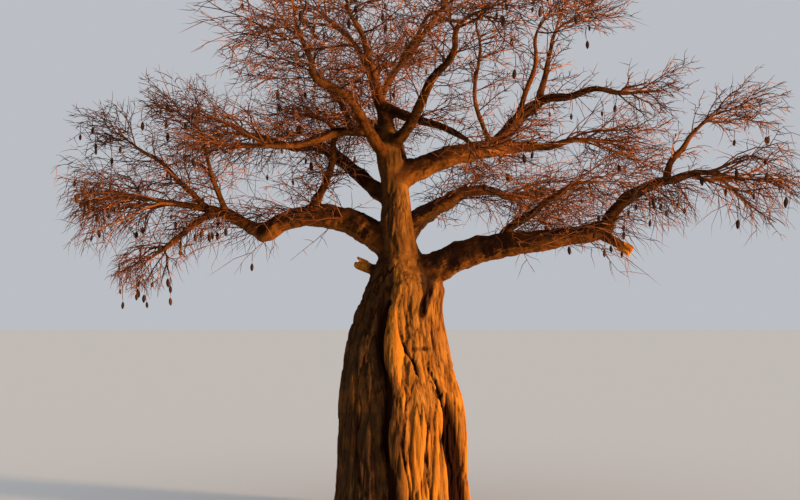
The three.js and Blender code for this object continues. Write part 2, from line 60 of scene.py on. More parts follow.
TRUNK_HEIGHT = 5.25
TRUNK_DEPTH = 0.92  # how deep the trunk is, as a share of how wide it is
CORE = 0.8  # radius of the trunk between its columns, as a share of its half width
MELT_FROM = 0.72  # how far up the trunk its columns begin to melt into a round top
PROFILE = np.array([  # height, half width, and how far the middle lies to the right
    (0.00, 1.480, 0.010),
    (0.50, 1.365, 0.010),
    (2.00, 1.290, 0.020),
    (3.10, 1.095, -0.065),
    (3.65, 0.985, -0.060),
    (4.15, 0.865, 0.000),
    (4.60, 0.765, 0.110),
    (TRUNK_HEIGHT, 0.405, 0.025),
])
COLUMNS = [  # bearing at the ground and at the fork, and half width as a share of the trunk's
    (-147, -158, 0.62),
    (-91, -92, 0.20),
    (-74, -62, 0.27),
    (-56, -40, 0.27),
    (-12, -12, 0.33),
    (28, 18, 0.42),
    (66, 62, 0.30),
    (103, 106, 0.42),
    (148, 152, 0.40),
]
CLEFTS = [  # lower height and bearing, upper height and bearing, half width and depth
    ((0.0, -97), (4.3, -111), 0.080, 0.170),  # between the shaded column and the ridges
    ((3.0, -71), (4.3, -96), 0.028, 0.085),  # the crack beside the smooth face
    ((0.0, -85), (2.8, -87), 0.024, 0.065),
    ((0.0, -69), (2.7, -63), 0.024, 0.065),
    ((0.0, -29), (2.5, -40), 0.260, 0.300),  # the deep hollow low on the right
    ((0.7, -36), (3.0, -57), 0.060, 0.150),  # and the furrow that runs up from it
    ((2.4, -36), (4.1, -45), 0.035, 0.050),
    ((4.2, -58), (5.0, -51), 0.090, 0.130),  # the crease under the crotch of the right bough
    ((0.0, 8), (3.6, -2), 0.070, 0.110),
    ((0.0, 47), (3.9, 40), 0.080, 0.130),
    ((0.4, 85), (3.4, 90), 0.070, 0.110),
    ((0.0, 126), (3.9, 131), 0.090, 0.140),
    ((0.3, -179), (3.2, -177), 0.080, 0.110),
    ((0.0, -128), (2.2, -131), 0.030, 0.060),
]
CLEFT_FOOT, CLEFT_TIP = 0.35, 0.9  # over what height a cleft begins and ends
CLEFT_SWAY, CLEFT_WAVES = 3, 3.1  # how many degrees it winds to each side, and how quickly with the height
CLEFT_END = 0.25  # its width at its ends, as a share of its full width
SCAR = dict(height=3.34, bearing=-63, half_width=12, half_height=0.035, depth=0.045)
TRUNK_SIDES, TRUNK_RINGS = 320, 240


def ramp(value, start, end):
    """How far a value has come on its way from the start to the end, held between 0 and 1."""
    return np.clip((value - start) / (end - start), 0, 1)


def profile_at(height, column):
    """A smooth value at each height, through one column of the trunk's profile."""
    knots, values = PROFILE[:, 0], PROFILE[:, column]
    place = np.arange(len(knots))
    after, before = np.minimum(place + 1, place[-1]), np.maximum(place - 1, 0)
    slopes = (values[after] - values[before]) / (knots[after] - knots[before])
    i = np.clip(np.searchsorted(knots, height, side="left") - 1, 0, place[-1] - 1)
    span = knots[i + 1] - knots[i]
    t = (height - knots[i]) / span
    start = values[i] * (1 + 2 * t) * (1 - t) ** 2 + slopes[i] * span * t * (1 - t) ** 2
    return start + values[i + 1] * t * t * (3 - 2 * t) + slopes[i + 1] * span * t * t * (t - 1)


def trunk_radius(turn, height):
    """The trunk's half width in each direction: that of its outermost column, and on top a round one."""
    climb = height / TRUNK_HEIGHT
    outermost = np.full(np.broadcast(turn, height).shape, CORE)
    for low, high, width in COLUMNS:
        off = turn - np.radians(low + (high - low) * climb)
        inside = width**2 - ((1 - width) * np.sin(off)) ** 2
        edge = (1 - width) * np.cos(off) + np.sqrt(np.maximum(inside, 0))
        outermost = np.where((inside > 0) & (np.cos(off) > 0), np.maximum(outermost, edge), outermost)
    melt = ramp(climb, MELT_FROM, 1)
    melt = melt * melt * (3 - 2 * melt)
    return profile_at(height, 1) * (outermost + (1 - outermost) * melt)


def cleft_depth(turn, height, radius):
    """How deep the clefts and the scar cut into the trunk."""
    depth = np.zeros(np.broadcast(turn, height).shape)
    for (low, low_bearing), (high, high_bearing), half_width, deep in CLEFTS:
        bearing = low_bearing + (high_bearing - low_bearing) * ramp(height, low, high)
        middle = np.radians(bearing + CLEFT_SWAY * np.sin(height * CLEFT_WAVES))
        ends = np.sqrt(ramp(height, low - CLEFT_FOOT, low) * ramp(height, high, high - CLEFT_TIP))
        width = half_width * (CLEFT_END + (1 - CLEFT_END) * ends)
        off = (turn - middle + math.pi) % (2 * math.pi) - math.pi
        depth += deep * ends * np.exp(-np.abs(off * radius / width) ** 3)
    off = (turn - math.radians(SCAR["bearing"])) / math.radians(SCAR["half_width"])
    rise = (height - SCAR["height"]) / SCAR["half_height"]
    return depth + SCAR["depth"] * np.exp(-(off**4) - rise**2)


def place_on_trunk(points):
    """Each point's height, its direction from the trunk's middle, and how far out it is in half widths."""
    height = np.clip(points[:, 2], 0, TRUNK_HEIGHT)
    right, back = points[:, 0] - profile_at(height, 2), points[:, 1] / TRUNK_DEPTH
    turn = np.arctan2(back, right)
    return height, turn, np.hypot(right, back) / trunk_radius(turn, height)


def tube_faces(rings, sides):
    """Faces of a tube whose ring points come first, and whose two end points come last."""
    i, j = np.meshgrid(np.arange(rings - 1), np.arange(sides), indexing="ij")
    k = (j + 1) % sides
    a, b, c, d = i * sides + j, i * sides + k, (i + 1) * sides + k, (i + 1) * sides + j
    walls = np.concatenate([np.stack([a, b, c], -1).reshape(-1, 3), np.stack([a, c, d], -1).reshape(-1, 3)])
    j, k = np.arange(sides), (np.arange(sides) + 1) % sides
    foot, tip = np.full(sides, rings * sides), np.full(sides, rings * sides + 1)
    last = (rings - 1) * sides
    return np.concatenate([walls, np.stack([k, j, foot], -1), np.stack([last + j, last + k, tip], -1)])


def rough_trunk():
    """The trunk's closed outline as points and faces, with its clefts."""
    turn = np.linspace(-math.pi, math.pi, TRUNK_SIDES, endpoint=False)[None]
    height = np.linspace(0, TRUNK_HEIGHT, TRUNK_RINGS)[:, None]
    radius = trunk_radius(turn, height)
    radius = radius - cleft_depth(turn, height, radius)
    x = profile_at(height, 2) + radius * np.cos(turn)
    y = radius * np.sin(turn) * TRUNK_DEPTH
    rings = np.stack([x, y, np.broadcast_to(height, x.shape)], axis=-1)
    ends = np.array([[profile_at(0.0, 2), 0, 0], [profile_at(TRUNK_HEIGHT, 2), 0, TRUNK_HEIGHT]])
    return np.concatenate([rings.reshape(-1, 3), ends]), tube_faces(TRUNK_RINGS, TRUNK_SIDES)


# Boughs
# The trunk forks into a leader and a few thick boughs, and those into thinner ones, of the same soft wood.
# Each tapers, arches and wanders from the crook where it left its parent, out of a collar of swollen wood.

GNARL = 0.022  # how far a limb wanders from its smooth line, as a share of its length
COLLAR = 0.55  # how much a limb thickens where it leaves its parent, as a share of its taper
COLLAR_FADE = 9  # how quickly that fades along the limb
KNEES = ("right_low", "left_low")  # boughs that swell where they bend into the next
KNEE, KNEE_AT, KNEE_LENGTH = 0.16, 0.95, 0.07  # by how much, and where and how far along the limb
STUB_FLARE, STUB_FLARES_FROM = 0.6, 0.7  # how much a torn stub widens to its end, and from where
TIP_NARROWS, TIP_FROM = 0.5, 0.95  # how much any other thick limb narrows, and from where
LIMB_SIDES, LIMB_RINGS = 24, 40

# Each limb: the limb it leaves, where on it, its bearing in degrees, how far it reaches and rises, its half
# thickness at the root and the tip, and how it arches, where that arch peaks and how it swings to its left.
Limb = namedtuple("Limb", "on at bearing reach rise root tip arch peak swing", defaults=(0.0, 0.5, 0.0))
LIMBS = {
    "leader": Limb("trunk", 0.97, 162, 0.33, 2.59, 0.345, 0.225),
    "leader_top": Limb("leader", 0.98, 142, 0.82, 1.94, 0.165, 0.06, swing=-0.19),
    "right_low": Limb("trunk", 0.82, -13, 4.15, 1.37, 0.33, 0.145, 0.42, 0.3, -0.15),
    "right_elbow": Limb("right_low", 0.97, -14, 1.29, 0.91, 0.128, 0.084, 0.29, 0.4),
    "right_stub": Limb("right_low", 0.93, -25, 0.62, -0.38, 0.12, 0.066),
    "right_mid": Limb("right_low", 0.45, 32, 1.65, 1.13, 0.095, 0.055, 0.09),
    "right_high": Limb("right_elbow", 0.9, 28, 0.73, 1.01, 0.066, 0.04, 0.14, 0.35),
    "upper_right": Limb("leader", 0.62, 13, 2.27, 0.73, 0.25, 0.17, 0.15, 0.4),
    "upper_right_end": Limb("upper_right", 0.97, 18, 1.35, 0.15, 0.14, 0.075),
    "up_right": Limb("upper_right", 0.93, 0, 1.01, 1.03, 0.15, 0.105, 0.09),
    "up_right_out": Limb("up_right", 0.96, -22, 1.4, 0.13, 0.098, 0.052, 0.04),
    "up_right_top": Limb("up_right", 0.94, 55, 0.56, 1.25, 0.078, 0.042),
    "upright": Limb("upper_right", 0.9, 245, 0.62, 2.25, 0.052, 0.028, swing=-0.17),
    "inner_right": Limb("leader_top", 0.28, -32, 1.95, -0.79, 0.12, 0.052, 0.06),
    "left_stub": Limb("trunk", 0.88, 178, 0.96, 0.42, 0.15, 0.092),
    "left_low": Limb("trunk", 0.97, 168, 2.98, 0.5, 0.3, 0.172, 0.69, 0.46),
    "left_out": Limb("left_low", 0.96, 178, 1.47, 0.56, 0.152, 0.074, 0.08),
    "left_drop": Limb("left_out", 0.72, 205, 0.83, -0.64, 0.072, 0.058, 0.04),
    "left_rise_outer": Limb("left_out", 0.86, 170, 1.18, 1.11, 0.066, 0.036, 0.06),
    "left_rise_inner": Limb("left_out", 0.55, 232, 0.62, 1.35, 0.06, 0.034, 0.12, swing=-0.14),
    "left_riser": Limb("left_low", 0.66, -35, 0.64, 1.42, 0.105, 0.06, swing=0.2),
    "upper_left": Limb("leader", 0.96, 204, 2.12, -0.26, 0.125, 0.068, 0.19, 0.4),
    "top_right": Limb("leader_top", 0.4, 32, 1.56, 2.13, 0.074, 0.04, 0.06),
    "back_right": Limb("leader", 0.08, 56, 4.0, 1.55, 0.25, 0.088, 0.42, 0.4, 0.26),
    "back": Limb("leader", 0.72, 98, 3.5, 1.5, 0.16, 0.066, 0.3, swing=-0.26),
    "back_left": Limb("leader", 0.42, 134, 4.05, 1.75, 0.165, 0.07, 0.38, swing=0.2),
    "front_left": Limb("leader", 0.8, 246, 3.35, 1.35, 0.12, 0.058, 0.33, swing=-0.22),
    "front_right": Limb("leader", 0.9, 292, 3.25, 1.35, 0.115, 0.056, 0.3, swing=0.24),
    "inner_top": Limb("top_right", 0.35, 300, 1.15, 0.8, 0.056, 0.036, 0.06),
    "inner_left": Limb("upper_left", 0.35, 128, 0.9, 1.05, 0.07, 0.042, 0.08),
    "inner_front": Limb("up_right", 0.35, 300, 0.9, 1.45, 0.064, 0.038, swing=0.12),
    "front": Limb("leader_top", 0.42, 262, 2.5, 0.9, 0.08, 0.044, 0.18),
    "back_top": Limb("leader_top", 0.6, 80, 2.2, 0.95, 0.07, 0.042, 0.16),
}

# Each choice that chance makes has a draw of its own, so that one never changes another.
DRAW = dict(
    sway=(1, 2), lift=(3, 4), place=5, around=6, lean=7, hang=8, length=9, girth=10, stalk=11, fruit=12,
    start=13, tint=14, kept=17, child=50,
)
MASK = 0xFFFFFFFF
UP = np.array([0.0, 0.0, 1.0])


def chance(seed, draw):
    """A number from 0 to 1 that depends only on the seed and on which draw it is."""
    seed = np.asarray(seed, np.uint64)
    mixed = ((seed ^ np.uint64((draw + 1) * 0x9E3779B1 & MASK)) * np.uint64(0x85EBCA6B)) & np.uint64(MASK)
    mixed = ((mixed ^ (mixed >> np.uint64(13))) * np.uint64(0xC2B2AE35)) & np.uint64(MASK)
    return (mixed ^ (mixed >> np.uint64(16))) / 4294967296


def between(low, high, seed, draw):
    """A number between those two that depends only on the seed and on which draw it is."""
    return low + (high - low) * chance(seed, draw)


def wander(seed, draws, waves, along):
    """A wander to one side and back, for a place from 0 to 1 along a limb."""
    slow = np.sin(math.pi * waves * along) * between(-1, 1, seed, draws[0])
    return slow + np.sin(math.pi * (waves + 1) * along) * between(-1, 1, seed, draws[1])


def heading(bearing, rise=0.0):
    """A unit vector with that bearing from +X towards +Y and that rise over the horizon, in degrees."""
    turn, climb = math.radians(bearing), math.radians(rise)
    return np.array([math.cos(climb) * math.cos(turn), math.cos(climb) * math.sin(turn), math.sin(climb)])


def unit(vectors):
    """The vectors, each of length 1."""
    return vectors / np.linalg.norm(vectors, axis=-1, keepdims=True)


def across(direction):
    """Two unit vectors at right angles to each direction and to each other."""
    hint = np.where(np.abs(direction[..., 2:3]) < 0.9, UP, np.array([1.0, 0.0, 0.0]))
    first = unit(np.cross(hint, direction))
    return first, np.cross(direction, first)


def limb_length(name):
    """How far a limb's tip lies from its root."""
    return math.hypot(LIMBS[name].reach, LIMBS[name].rise)


def limb_line(name, along):
    """The points on a limb's middle line, from 0 at its root, inside its parent, to 1 at its tip."""
    along = np.asarray(along, float)[..., None]
    if name == "trunk":
        height = along * TRUNK_HEIGHT
        return np.concatenate([profile_at(height, 2), height * 0, height], axis=-1)
    limb = LIMBS[name]
    seed = list(LIMBS).index(name) + 1
    hump = np.sin(math.pi * along ** (math.log(0.5) / math.log(limb.peak)))  # 0 at both ends, 1 at the peak
    gnarl = limb_length(name) * GNARL
    sideways = limb.swing * hump + gnarl * wander(seed, DRAW["sway"], 2, along)
    upwards = limb.rise * along + limb.arch * hump + gnarl * wander(seed, DRAW["lift"], 2, along)
    root, outwards = limb_line(limb.on, limb.at), heading(limb.bearing) * limb.reach * along
    return root + outwards + heading(limb.bearing + 90) * sideways + UP * upwards


def limb_girth(name, along):
    """A limb's half thickness, with the collar where it leaves its parent."""
    along = np.asarray(along, float)
    if name == "trunk":
        return profile_at(along * TRUNK_HEIGHT, 1)
    taper = LIMBS[name].root - LIMBS[name].tip
    return LIMBS[name].root - taper * along + COLLAR * taper * np.exp(-COLLAR_FADE * along)


def spokes_round(first, second, sides):
    """As many unit vectors all round, in the plane of two directions at right angles to each other."""
    turn = (np.arange(sides) * 2 * math.pi / sides)[None, :, None]
    return first[:, None] * np.cos(turn) + second[:, None] * np.sin(turn)


def tubes(paths, girths, sides):
    """Closed tubes along many paths of as many points each, as one set of points and faces."""
    count, rings = girths.shape
    ahead = np.concatenate([paths[:, 1:], paths[:, -1:]], axis=1)
    behind = np.concatenate([paths[:, :1], paths[:, :-1]], axis=1)
    tangent = unit(ahead - behind)
    first, _ = across(tangent[:, 0])
    walls = []
    for ring in range(rings):
        way = tangent[:, ring]
        first = unit(first - (first * way).sum(-1, keepdims=True) * way)
        spokes = spokes_round(first, np.cross(way, first), sides)
        walls.append(paths[:, ring, None] + spokes * girths[:, ring, None, None])
    points = np.concatenate([*walls, paths[:, :1], paths[:, -1:]], axis=1)
    faces = tube_faces(rings, sides)[None] + np.arange(count)[:, None, None] * points.shape[1]
    return points.reshape(-1, 3), faces.reshape(-1, 3)


def rough_limb(name):
    """A thick limb's closed outline. Its tip narrows, to end inside the thinner limb that carries it on."""
    along = np.linspace(0, 1, LIMB_RINGS)
    girths = limb_girth(name, along)
    if name in KNEES:
        girths = girths * (1 + KNEE * np.exp(-(((along - KNEE_AT) / KNEE_LENGTH) ** 2)))
    if name.endswith("stub"):
        girths = girths * (1 + STUB_FLARE * ramp(along, STUB_FLARES_FROM, 1))
    else:
        girths = girths * (1 - TIP_NARROWS * ramp(along, TIP_FROM, 1) ** 2)
    return tubes(limb_line(name, along)[None], girths[None], LIMB_SIDES)


# Skin of the trunk and the thick boughs
# One thick, soft bark that folds like cloth runs from the trunk out over the thick boughs without a seam.
# The rough limbs are melted into one skin on a fine grid, its joints are eased, and it is pushed in and out
# by the bark's ropes, cracks and wrinkles.

SKIN_CELL = 0.020
SKIN_LIMB = 0.094  # a limb whose half thickness at the root is at least this is part of the skin
TRUNK_TOP = 0.25  # over what height the trunk gives way to the leader
JOINT = 0.45  # how far a joint between two limbs reaches, as a share of their thickness
JOINTS_FROM = 3.6  # the height above which joints are eased
FILLET, FILLET_ROUNDS = 0.6, 60  # how far a joint's points are drawn to their neighbours, and how often
BLUR, BLUR_ROUNDS = 0.5, 14  # and the same for what tells how near a joint they are
MARK_BLUR = 0.8  # and for the bark's marks near a joint
LIMB_PLACES = 60  # places along a limb where its distance to a point is measured
LIMB_AROUND = 0.6  # a limb's skin lies nowhere further than this from its middle line
LIMB_APART = 7  # how far apart two limbs lie in the grain, so that no two look alike
thick = ["trunk", *[name for name, limb in LIMBS.items() if limb.root >= SKIN_LIMB]]


def joined(parts):
    """Several sets of points and faces as one."""
    points, faces, total = [], [], 0
    for some_points, some_faces in parts:
        points.append(some_points)
        faces.append(some_faces + total)
        total += len(some_points)
    return np.concatenate(points), np.concatenate(faces)


def new_object(name, data):
    """An object made of that mesh, lamp or camera, in the scene."""
    made = bpy.data.objects.new(name, data)
    bpy.context.scene.collection.objects.link(made)
    return made


def mesh_object(name, points, faces, smooth=True):
    """A mesh object made of those points and triangles."""
    mesh = bpy.data.meshes.new(name)
    mesh.vertices.add(len(points))
    mesh.vertices.foreach_set("co", points.astype(np.float32).ravel())
    mesh.loops.add(faces.size)
    mesh.loops.foreach_set("vertex_index", faces.astype(np.int32).ravel())
    mesh.polygons.add(len(faces))
    mesh.polygons.foreach_set("loop_start", np.arange(0, faces.size, 3, dtype=np.int32))
    mesh.polygons.foreach_set("use_smooth", np.full(len(faces), smooth))
    mesh.update(calc_edges=True)
    return new_object(name, mesh)


def plain_mesh(piece):
    """The mesh that a piece's modifiers make of it."""
    return bpy.data.meshes.new_from_object(piece.evaluated_get(bpy.context.evaluated_depsgraph_get()))


def read(items, what, width, kind):
    """What a mesh keeps for each of its points, edges or corners, in rows of that width."""
    values = np.empty(len(items) * width, kind)
    items.foreach_get(what, values)
    return values.reshape(-1, width)


def moved(mesh, points):
    """Moves a mesh's points to those places. Returns the normals there."""
    mesh.vertices.foreach_set("co", points.astype(np.float32).ravel())
    mesh.update()
    return read(mesh.vertices, "normal", 3, np.float32).astype(float)


def run_along(line):
    """How far along a line of points each of them lies."""
    return np.concatenate([[0], np.cumsum(np.linalg.norm(np.diff(line, axis=0), axis=1))])


def places_on_limbs(points):
    """For each point of the skin: which thick limb it lies on, how thick that is there, how far along it,
    which way the limb runs, the grain, and how near the point is to a joint of two limbs.

    The grain is the point's place as measured along and across its own limb. The leader has the trunk's."""
    height, _, nearest = place_on_trunk(points)
    nearest = nearest + (points[:, 2] - height) / TRUNK_TOP
    second = np.full(len(points), np.inf)
    owner, thickness = np.zeros(len(points), int), np.ones(len(points))
    along, way, grain = height / TRUNK_HEIGHT, np.tile(UP, (len(points), 1)), points[:, [2, 0, 1]].copy()
    for number, name in enumerate(thick[1:], 1):
        share = np.linspace(0.02, 1, LIMB_PLACES)
        line, girth = limb_line(name, share), limb_girth(name, share)
        low, high = line.min(0) - LIMB_AROUND, line.max(0) + LIMB_AROUND
        near = np.flatnonzero(((points > low) & (points < high)).all(1))
        away = np.linalg.norm(points[near, None] - line[None], axis=2)
        step = away.argmin(1)
        nearness = away[np.arange(len(near)), step] / girth[step]
        second[near] = np.minimum(second[near], np.maximum(nearest[near], nearness))
        won = nearness < nearest[near]
        near, step, nearness = near[won], step[won], nearness[won]
        tangent = unit(np.gradient(line, axis=0))[step]
        offset = points[near] - line[step]
        length = run_along(line)
        run = length[step] + (offset * tangent).sum(1)
        left, over = across(tangent)
        nearest[near], owner[near], thickness[near] = nearness, number, girth[step]
        along[near], way[near] = run / length[-1], tangent
        if name != "leader":
            sideways = [(offset * left).sum(1), (offset * over).sum(1)]
            grain[near] = np.stack([run + LIMB_APART * number, *sideways], axis=1)
    return owner, thickness, along, way, grain, 1 - np.clip((second - nearest) / JOINT, 0, 1)


def eased(values, links, weight, rounds):
    """The values at the skin's points, drawn to those of their neighbours as far as the weights say."""
    links = links[(weight[links] > 0).any(1)]
    count = np.maximum(np.bincount(links.ravel(), minlength=len(values)), 1)
    for _ in range(rounds):
        around = [np.bincount(links[:, 0], column[links[:, 1]], len(values))
                  + np.bincount(links[:, 1], column[links[:, 0]], len(values)) for column in values.T]
        values = values + (np.stack(around, axis=1) / count[:, None] - values) * weight[:, None]
    return values


skin = mesh_object("skin", *joined([rough_trunk(), *[rough_limb(name) for name in thick[1:]]]))
melting = skin.modifiers.new("melting", "REMESH")
melting.mode = "VOXEL"
melting.voxel_size = SKIN_CELL
melted = plain_mesh(skin)
bpy.data.objects.remove(skin)

points = read(melted.vertices, "co", 3, np.float32).astype(float)
edges = read(melted.edges, "vertices", 2, np.int32)
quads = read(melted.loops, "vertex_index", 1, np.int32).reshape(-1, 4)
*_, joint = places_on_limbs(points)
points = eased(points, edges, FILLET * joint * (points[:, 2] > JOINTS_FROM), FILLET_ROUNDS)
normals = moved(melted, points)
owner, thickness, along, way, grain, joint = places_on_limbs(points)
joint = eased(joint[:, None], edges, np.full(len(points), BLUR), BLUR_ROUNDS)[:, 0]
height, turn, _ = place_on_trunk(points)


def lies_on(*names):
    """Which of the skin's points lie on those limbs."""
    return np.isin(owner, [thick.index(name) for name in names])


def rough_noise(places, octaves):
    """Blender's own smooth noise at each place, from about -1 to 1, in that many finer and finer layers."""
    return np.array([noise.fractal(Vector(p), 1.0, 2.0, octaves) for p in places])


on_trunk, on_leader = lies_on("trunk"), lies_on("leader")
upright = on_trunk | on_leader
torn = lies_on("right_stub", "left_stub")

# The smooth face: a strip without bark that starts at a point, is widest halfway and leans to the left.
FACE = dict(bearing=-88.5, lean=-27, leans_from=0.4, low=2.62, high=4.2, half_width=11)
FACE_WIDEST, FACE_NARROWS = 0.5, 0.7  # how far up it is widest, and how quickly it narrows from there
FACE_EDGE, FACE_FRAY = 2.5, 0.12  # how sharp its edge is, and over what share of its height its top frays
RAGGED, RAGS = 0.35, np.array([5, 20, 20])  # how ragged its edge is, and how fine along and across

climb = ramp(height, FACE["low"], FACE["high"])
face_turn = np.radians(FACE["bearing"] + FACE["lean"] * np.clip(climb - FACE["leans_from"], 0, 1) ** 1.5)
face_width = np.clip(climb / FACE_WIDEST, 1e-4, 1) ** 0.9
face_width *= 1 - FACE_NARROWS * np.clip(climb - FACE_WIDEST, 0, 1)
face_width *= np.radians(FACE["half_width"])
ragged = RAGGED * rough_noise(grain * RAGS, 3)
smooth_face = np.clip(FACE_EDGE * (1 - np.abs(turn - face_turn) / face_width + ragged), 0, 1) * on_trunk
smooth_face *= np.clip((1 - climb) / FACE_FRAY + 3 * ragged, 0, 1) * (climb > 0)

# The relief: ropes of bark with narrow creases between them, fibres on the trunk, and lumps and wrinkles on
# the boughs. The torn end of a stub is splintered, and the flat cut stays flat.
ROPE = np.where(upright, 0.125, 0.12)[:, None]  # how wide a rope of bark is
STRETCH = np.where(upright, 0.10, 0.4)  # its width as a share of its length
CREASES, CREASE_SHAPE = 3.4, 0.6  # how narrow the creases between the ropes are, and how sharp
calm = ramp(height, 2.9, 3.6) * (normals[:, 0] > -0.2)  # the bark is smoother high on the right
ROPE_HEIGHT = np.where(upright, 0.0342 - 0.0198 * calm, 0.0036 + 0.0405 * thickness)
FIBRE, FIBRE_HEIGHT = np.array([1.7, 22, 22]), 0.009
LUMP, LUMP_HEIGHT = 0.34, 0.20  # the swellings of a bough, and their height as a share of its thickness
WRINKLE, WRINKLE_HEIGHT = np.array([17, 5, 5]), 0.007
SMOOTHER, JOINT_SMOOTHER = 0.8, 0.7  # how much lower the relief is on the smooth face and at a joint
CUT_FOOT = 0.05  # the height below which it fades towards the flat cut
TEAR, SPLINTER = 0.20, 0.08  # how unevenly a stub has torn off, and how wide a splinter is
TEAR_OUT = 0.3  # how far a splinter stands out, as a share of how deep a tear goes

ropes = grain / ROPE
ropes[:, 0] *= STRETCH
ropes = rough_noise(ropes, 3)
crease = 1 - np.clip(np.abs(ropes) * CREASES, 0, 1) ** CREASE_SHAPE  # 1 in a crease, 0 on a rope
lumps = rough_noise(grain / LUMP, 2) * LUMP_HEIGHT * thickness * ~on_trunk
wrinkles = rough_noise(grain * WRINKLE, 2) * WRINKLE_HEIGHT
relief = ROPE_HEIGHT * (ropes - crease) * (1 - SMOOTHER * smooth_face)
relief = relief + FIBRE_HEIGHT * rough_noise(grain * FIBRE, 2) * upright
relief = (relief + (lumps + wrinkles) * ~upright) * (1 - JOINT_SMOOTHER * joint)
relief = relief * ramp(points[:, 2], 0, CUT_FOOT)
tear = TEAR * rough_noise(grain / SPLINTER, 3) * ramp(along, 0.75, 0.9) * torn
tear = np.clip(tear, -TEAR, TEAR_OUT * TEAR)
points = points + normals * relief[:, None] + way * tear[:, None]
points[:, 2] = np.maximum(points[:, 2], 0)
normals = moved(melted, points)

# What the bark's material reads at each point: how much darker it is, mostly with painted shade in the
# clefts and creases; how far it is painted in shade; and how far it is fresh wood without bark, which also
# carries a painted highlight on the crests of the ropes. The side of the trunk away from the key light is
# painted in shade, with a half shaded strip beside it, and so are the tops of the boughs and the crotch of
# the right one.
SHADE_EDGE, SHADE_LEAN = -98, 2.6  # the bearing of the edge of the side painted in shade, and its lean with the height
SHADE_WIDTH = 120  # how many degrees wide that side is
HALF_SHADE = dict(share=0.95, half_width=8, top=2.9)  # the half shaded strip painted beside it
CROTCH_SHADE = dict(low=4.05, high=5.30, middle=(0.50, 0.62), half_width=(0.03, 0.34))  # painted shade in the crotch of the right bough: a wedge, wide on top
BOUGH_SHADE_FROM = unit(np.array([-0.75, 0.0, 1.0]))  # the side of a bough that is painted in shade: up and to the left, away from the key light
BOUGH_SHADE_EDGE, BOUGH_SHADE_ROUND = 1.9, 0.30  # how sharply that painted shade ends, and how far it reaches round the bough
BOUGH_SHADE_LEVEL = 0.60  # how much further on a level bough
SHADED_FRONTS = 0.75 * lies_on("right_low") + 0.4 * lies_on("upper_right")  # painted shade on the fronts of these boughs, on their first stretch
LEADER_SHADE = 0.7  # how far the leader's left side is painted in shade
CLEFT_SHADE_DEPTH = 0.09  # a cleft this deep is painted quite dark with shade
# how far the creases between the ropes are darkened with painted shade
CREASE_SHADE = np.where(on_trunk, 0.85, 0.5)
SHADE_DARKER_TOP = 0.35  # how much darker the painted shade is high on the trunk
CREST_HIGHLIGHT = 0.8  # how far the ropes low on the lit side of the trunk get a painted highlight along their crests
REDDER = 0.26  # how much darker and redder the leader's bark is
SLENDER_DARK = 0.42  # and that of the slenderest boughs

off_edge = (np.degrees(turn) - SHADE_EDGE + SHADE_LEAN * height + 180) % 360 - 180
shaded_side = ramp(off_edge, 1.5, -1.5) * (off_edge > -SHADE_WIDTH)
half_shade = np.clip(1 - np.abs(off_edge / HALF_SHADE["half_width"] - 1), 0, 1) ** 0.3
half_shade *= HALF_SHADE["share"] * ramp(height, HALF_SHADE["top"], HALF_SHADE["top"] - 0.3)
trunk_shade = np.maximum(shaded_side, half_shade)
# Painted shade in the crotch of the right bough
high_up = (points[:, 2] - CROTCH_SHADE["low"]) / (CROTCH_SHADE["high"] - CROTCH_SHADE["low"])
middle, half_width = (
    low + (high - low) * np.clip(high_up, 0, 1) for low, high in (CROTCH_SHADE["middle"], CROTCH_SHADE["half_width"]))
crotch_shade = np.clip(3 * (1 - np.abs(points[:, 0] - middle) / half_width + ragged), 0, 1)
crotch_shade = crotch_shade * (points[:, 1] < 0.1) * (high_up > 0) * ramp(high_up, 1.3, 1)

# Painted shade: deep in the clefts and the creases between the ropes, and high on the shaded side
cut = cleft_depth(turn, height, trunk_radius(turn, height)) * on_trunk
furrow = np.clip(cut / CLEFT_SHADE_DEPTH, 0, 1) + crease * CREASE_SHADE * (1 - smooth_face)
furrow = furrow + SHADE_DARKER_TOP * shaded_side * ramp(height, 3.3, 4.2) * on_trunk
# Painted shade on the boughs: their tops and left sides, away from the key light, more on a level bough, the
# fronts of two boughs near their roots, and the leader's left side.
bough_shade = BOUGH_SHADE_EDGE * (normals @ BOUGH_SHADE_FROM) + BOUGH_SHADE_ROUND + BOUGH_SHADE_LEVEL * (1 - np.abs(way[:, 2]))
bough_shade = bough_shade + SHADED_FRONTS * np.clip(-normals[:, 1] * 1.5, 0, 1) * ramp(points[:, 0], 2.4, 1.6)
bough_shade = bough_shade + LEADER_SHADE * on_leader * np.clip(-normals[:, 0] * 2.5 - 0.3, 0, 1)
weather = np.where(on_trunk, trunk_shade, np.clip(bough_shade, 0, 1)) * (1 - smooth_face)
# A painted highlight along the crests of the ropes low on the lit side of the trunk, carried with the bare
# wood
crest_highlight = np.clip(3.5 * ropes + 0.3, 0, 1) * ramp(height, 3.1, 2.3) * on_trunk * (1 - trunk_shade)
bare = np.clip(smooth_face + np.clip((along - 0.72) / 0.12 + ragged, 0, 1) * torn + CREST_HIGHLIGHT * crest_highlight, 0, 1)
marks = eased(np.stack([furrow, weather], axis=1), edges, MARK_BLUR * joint, BLUR_ROUNDS)
furrow = marks[:, 0] + REDDER * on_leader + 0.5 * REDDER * calm * on_trunk
furrow = furrow + SLENDER_DARK * ramp(thickness, 0.19, 0.11) * ~torn
weather = np.maximum(marks[:, 1], crotch_shade)


def carry(piece, **marks):
    """Gives a piece a number or a vector at each of its points, which its material reads by that name."""
    for name, values in marks.items():
        kind, field = ("FLOAT", "value") if values.ndim == 1 else ("FLOAT_VECTOR", "vector")
        layer = piece.data.attributes.new(name, kind, "POINT")
        layer.data.foreach_set(field, values.astype(np.float32).ravel())


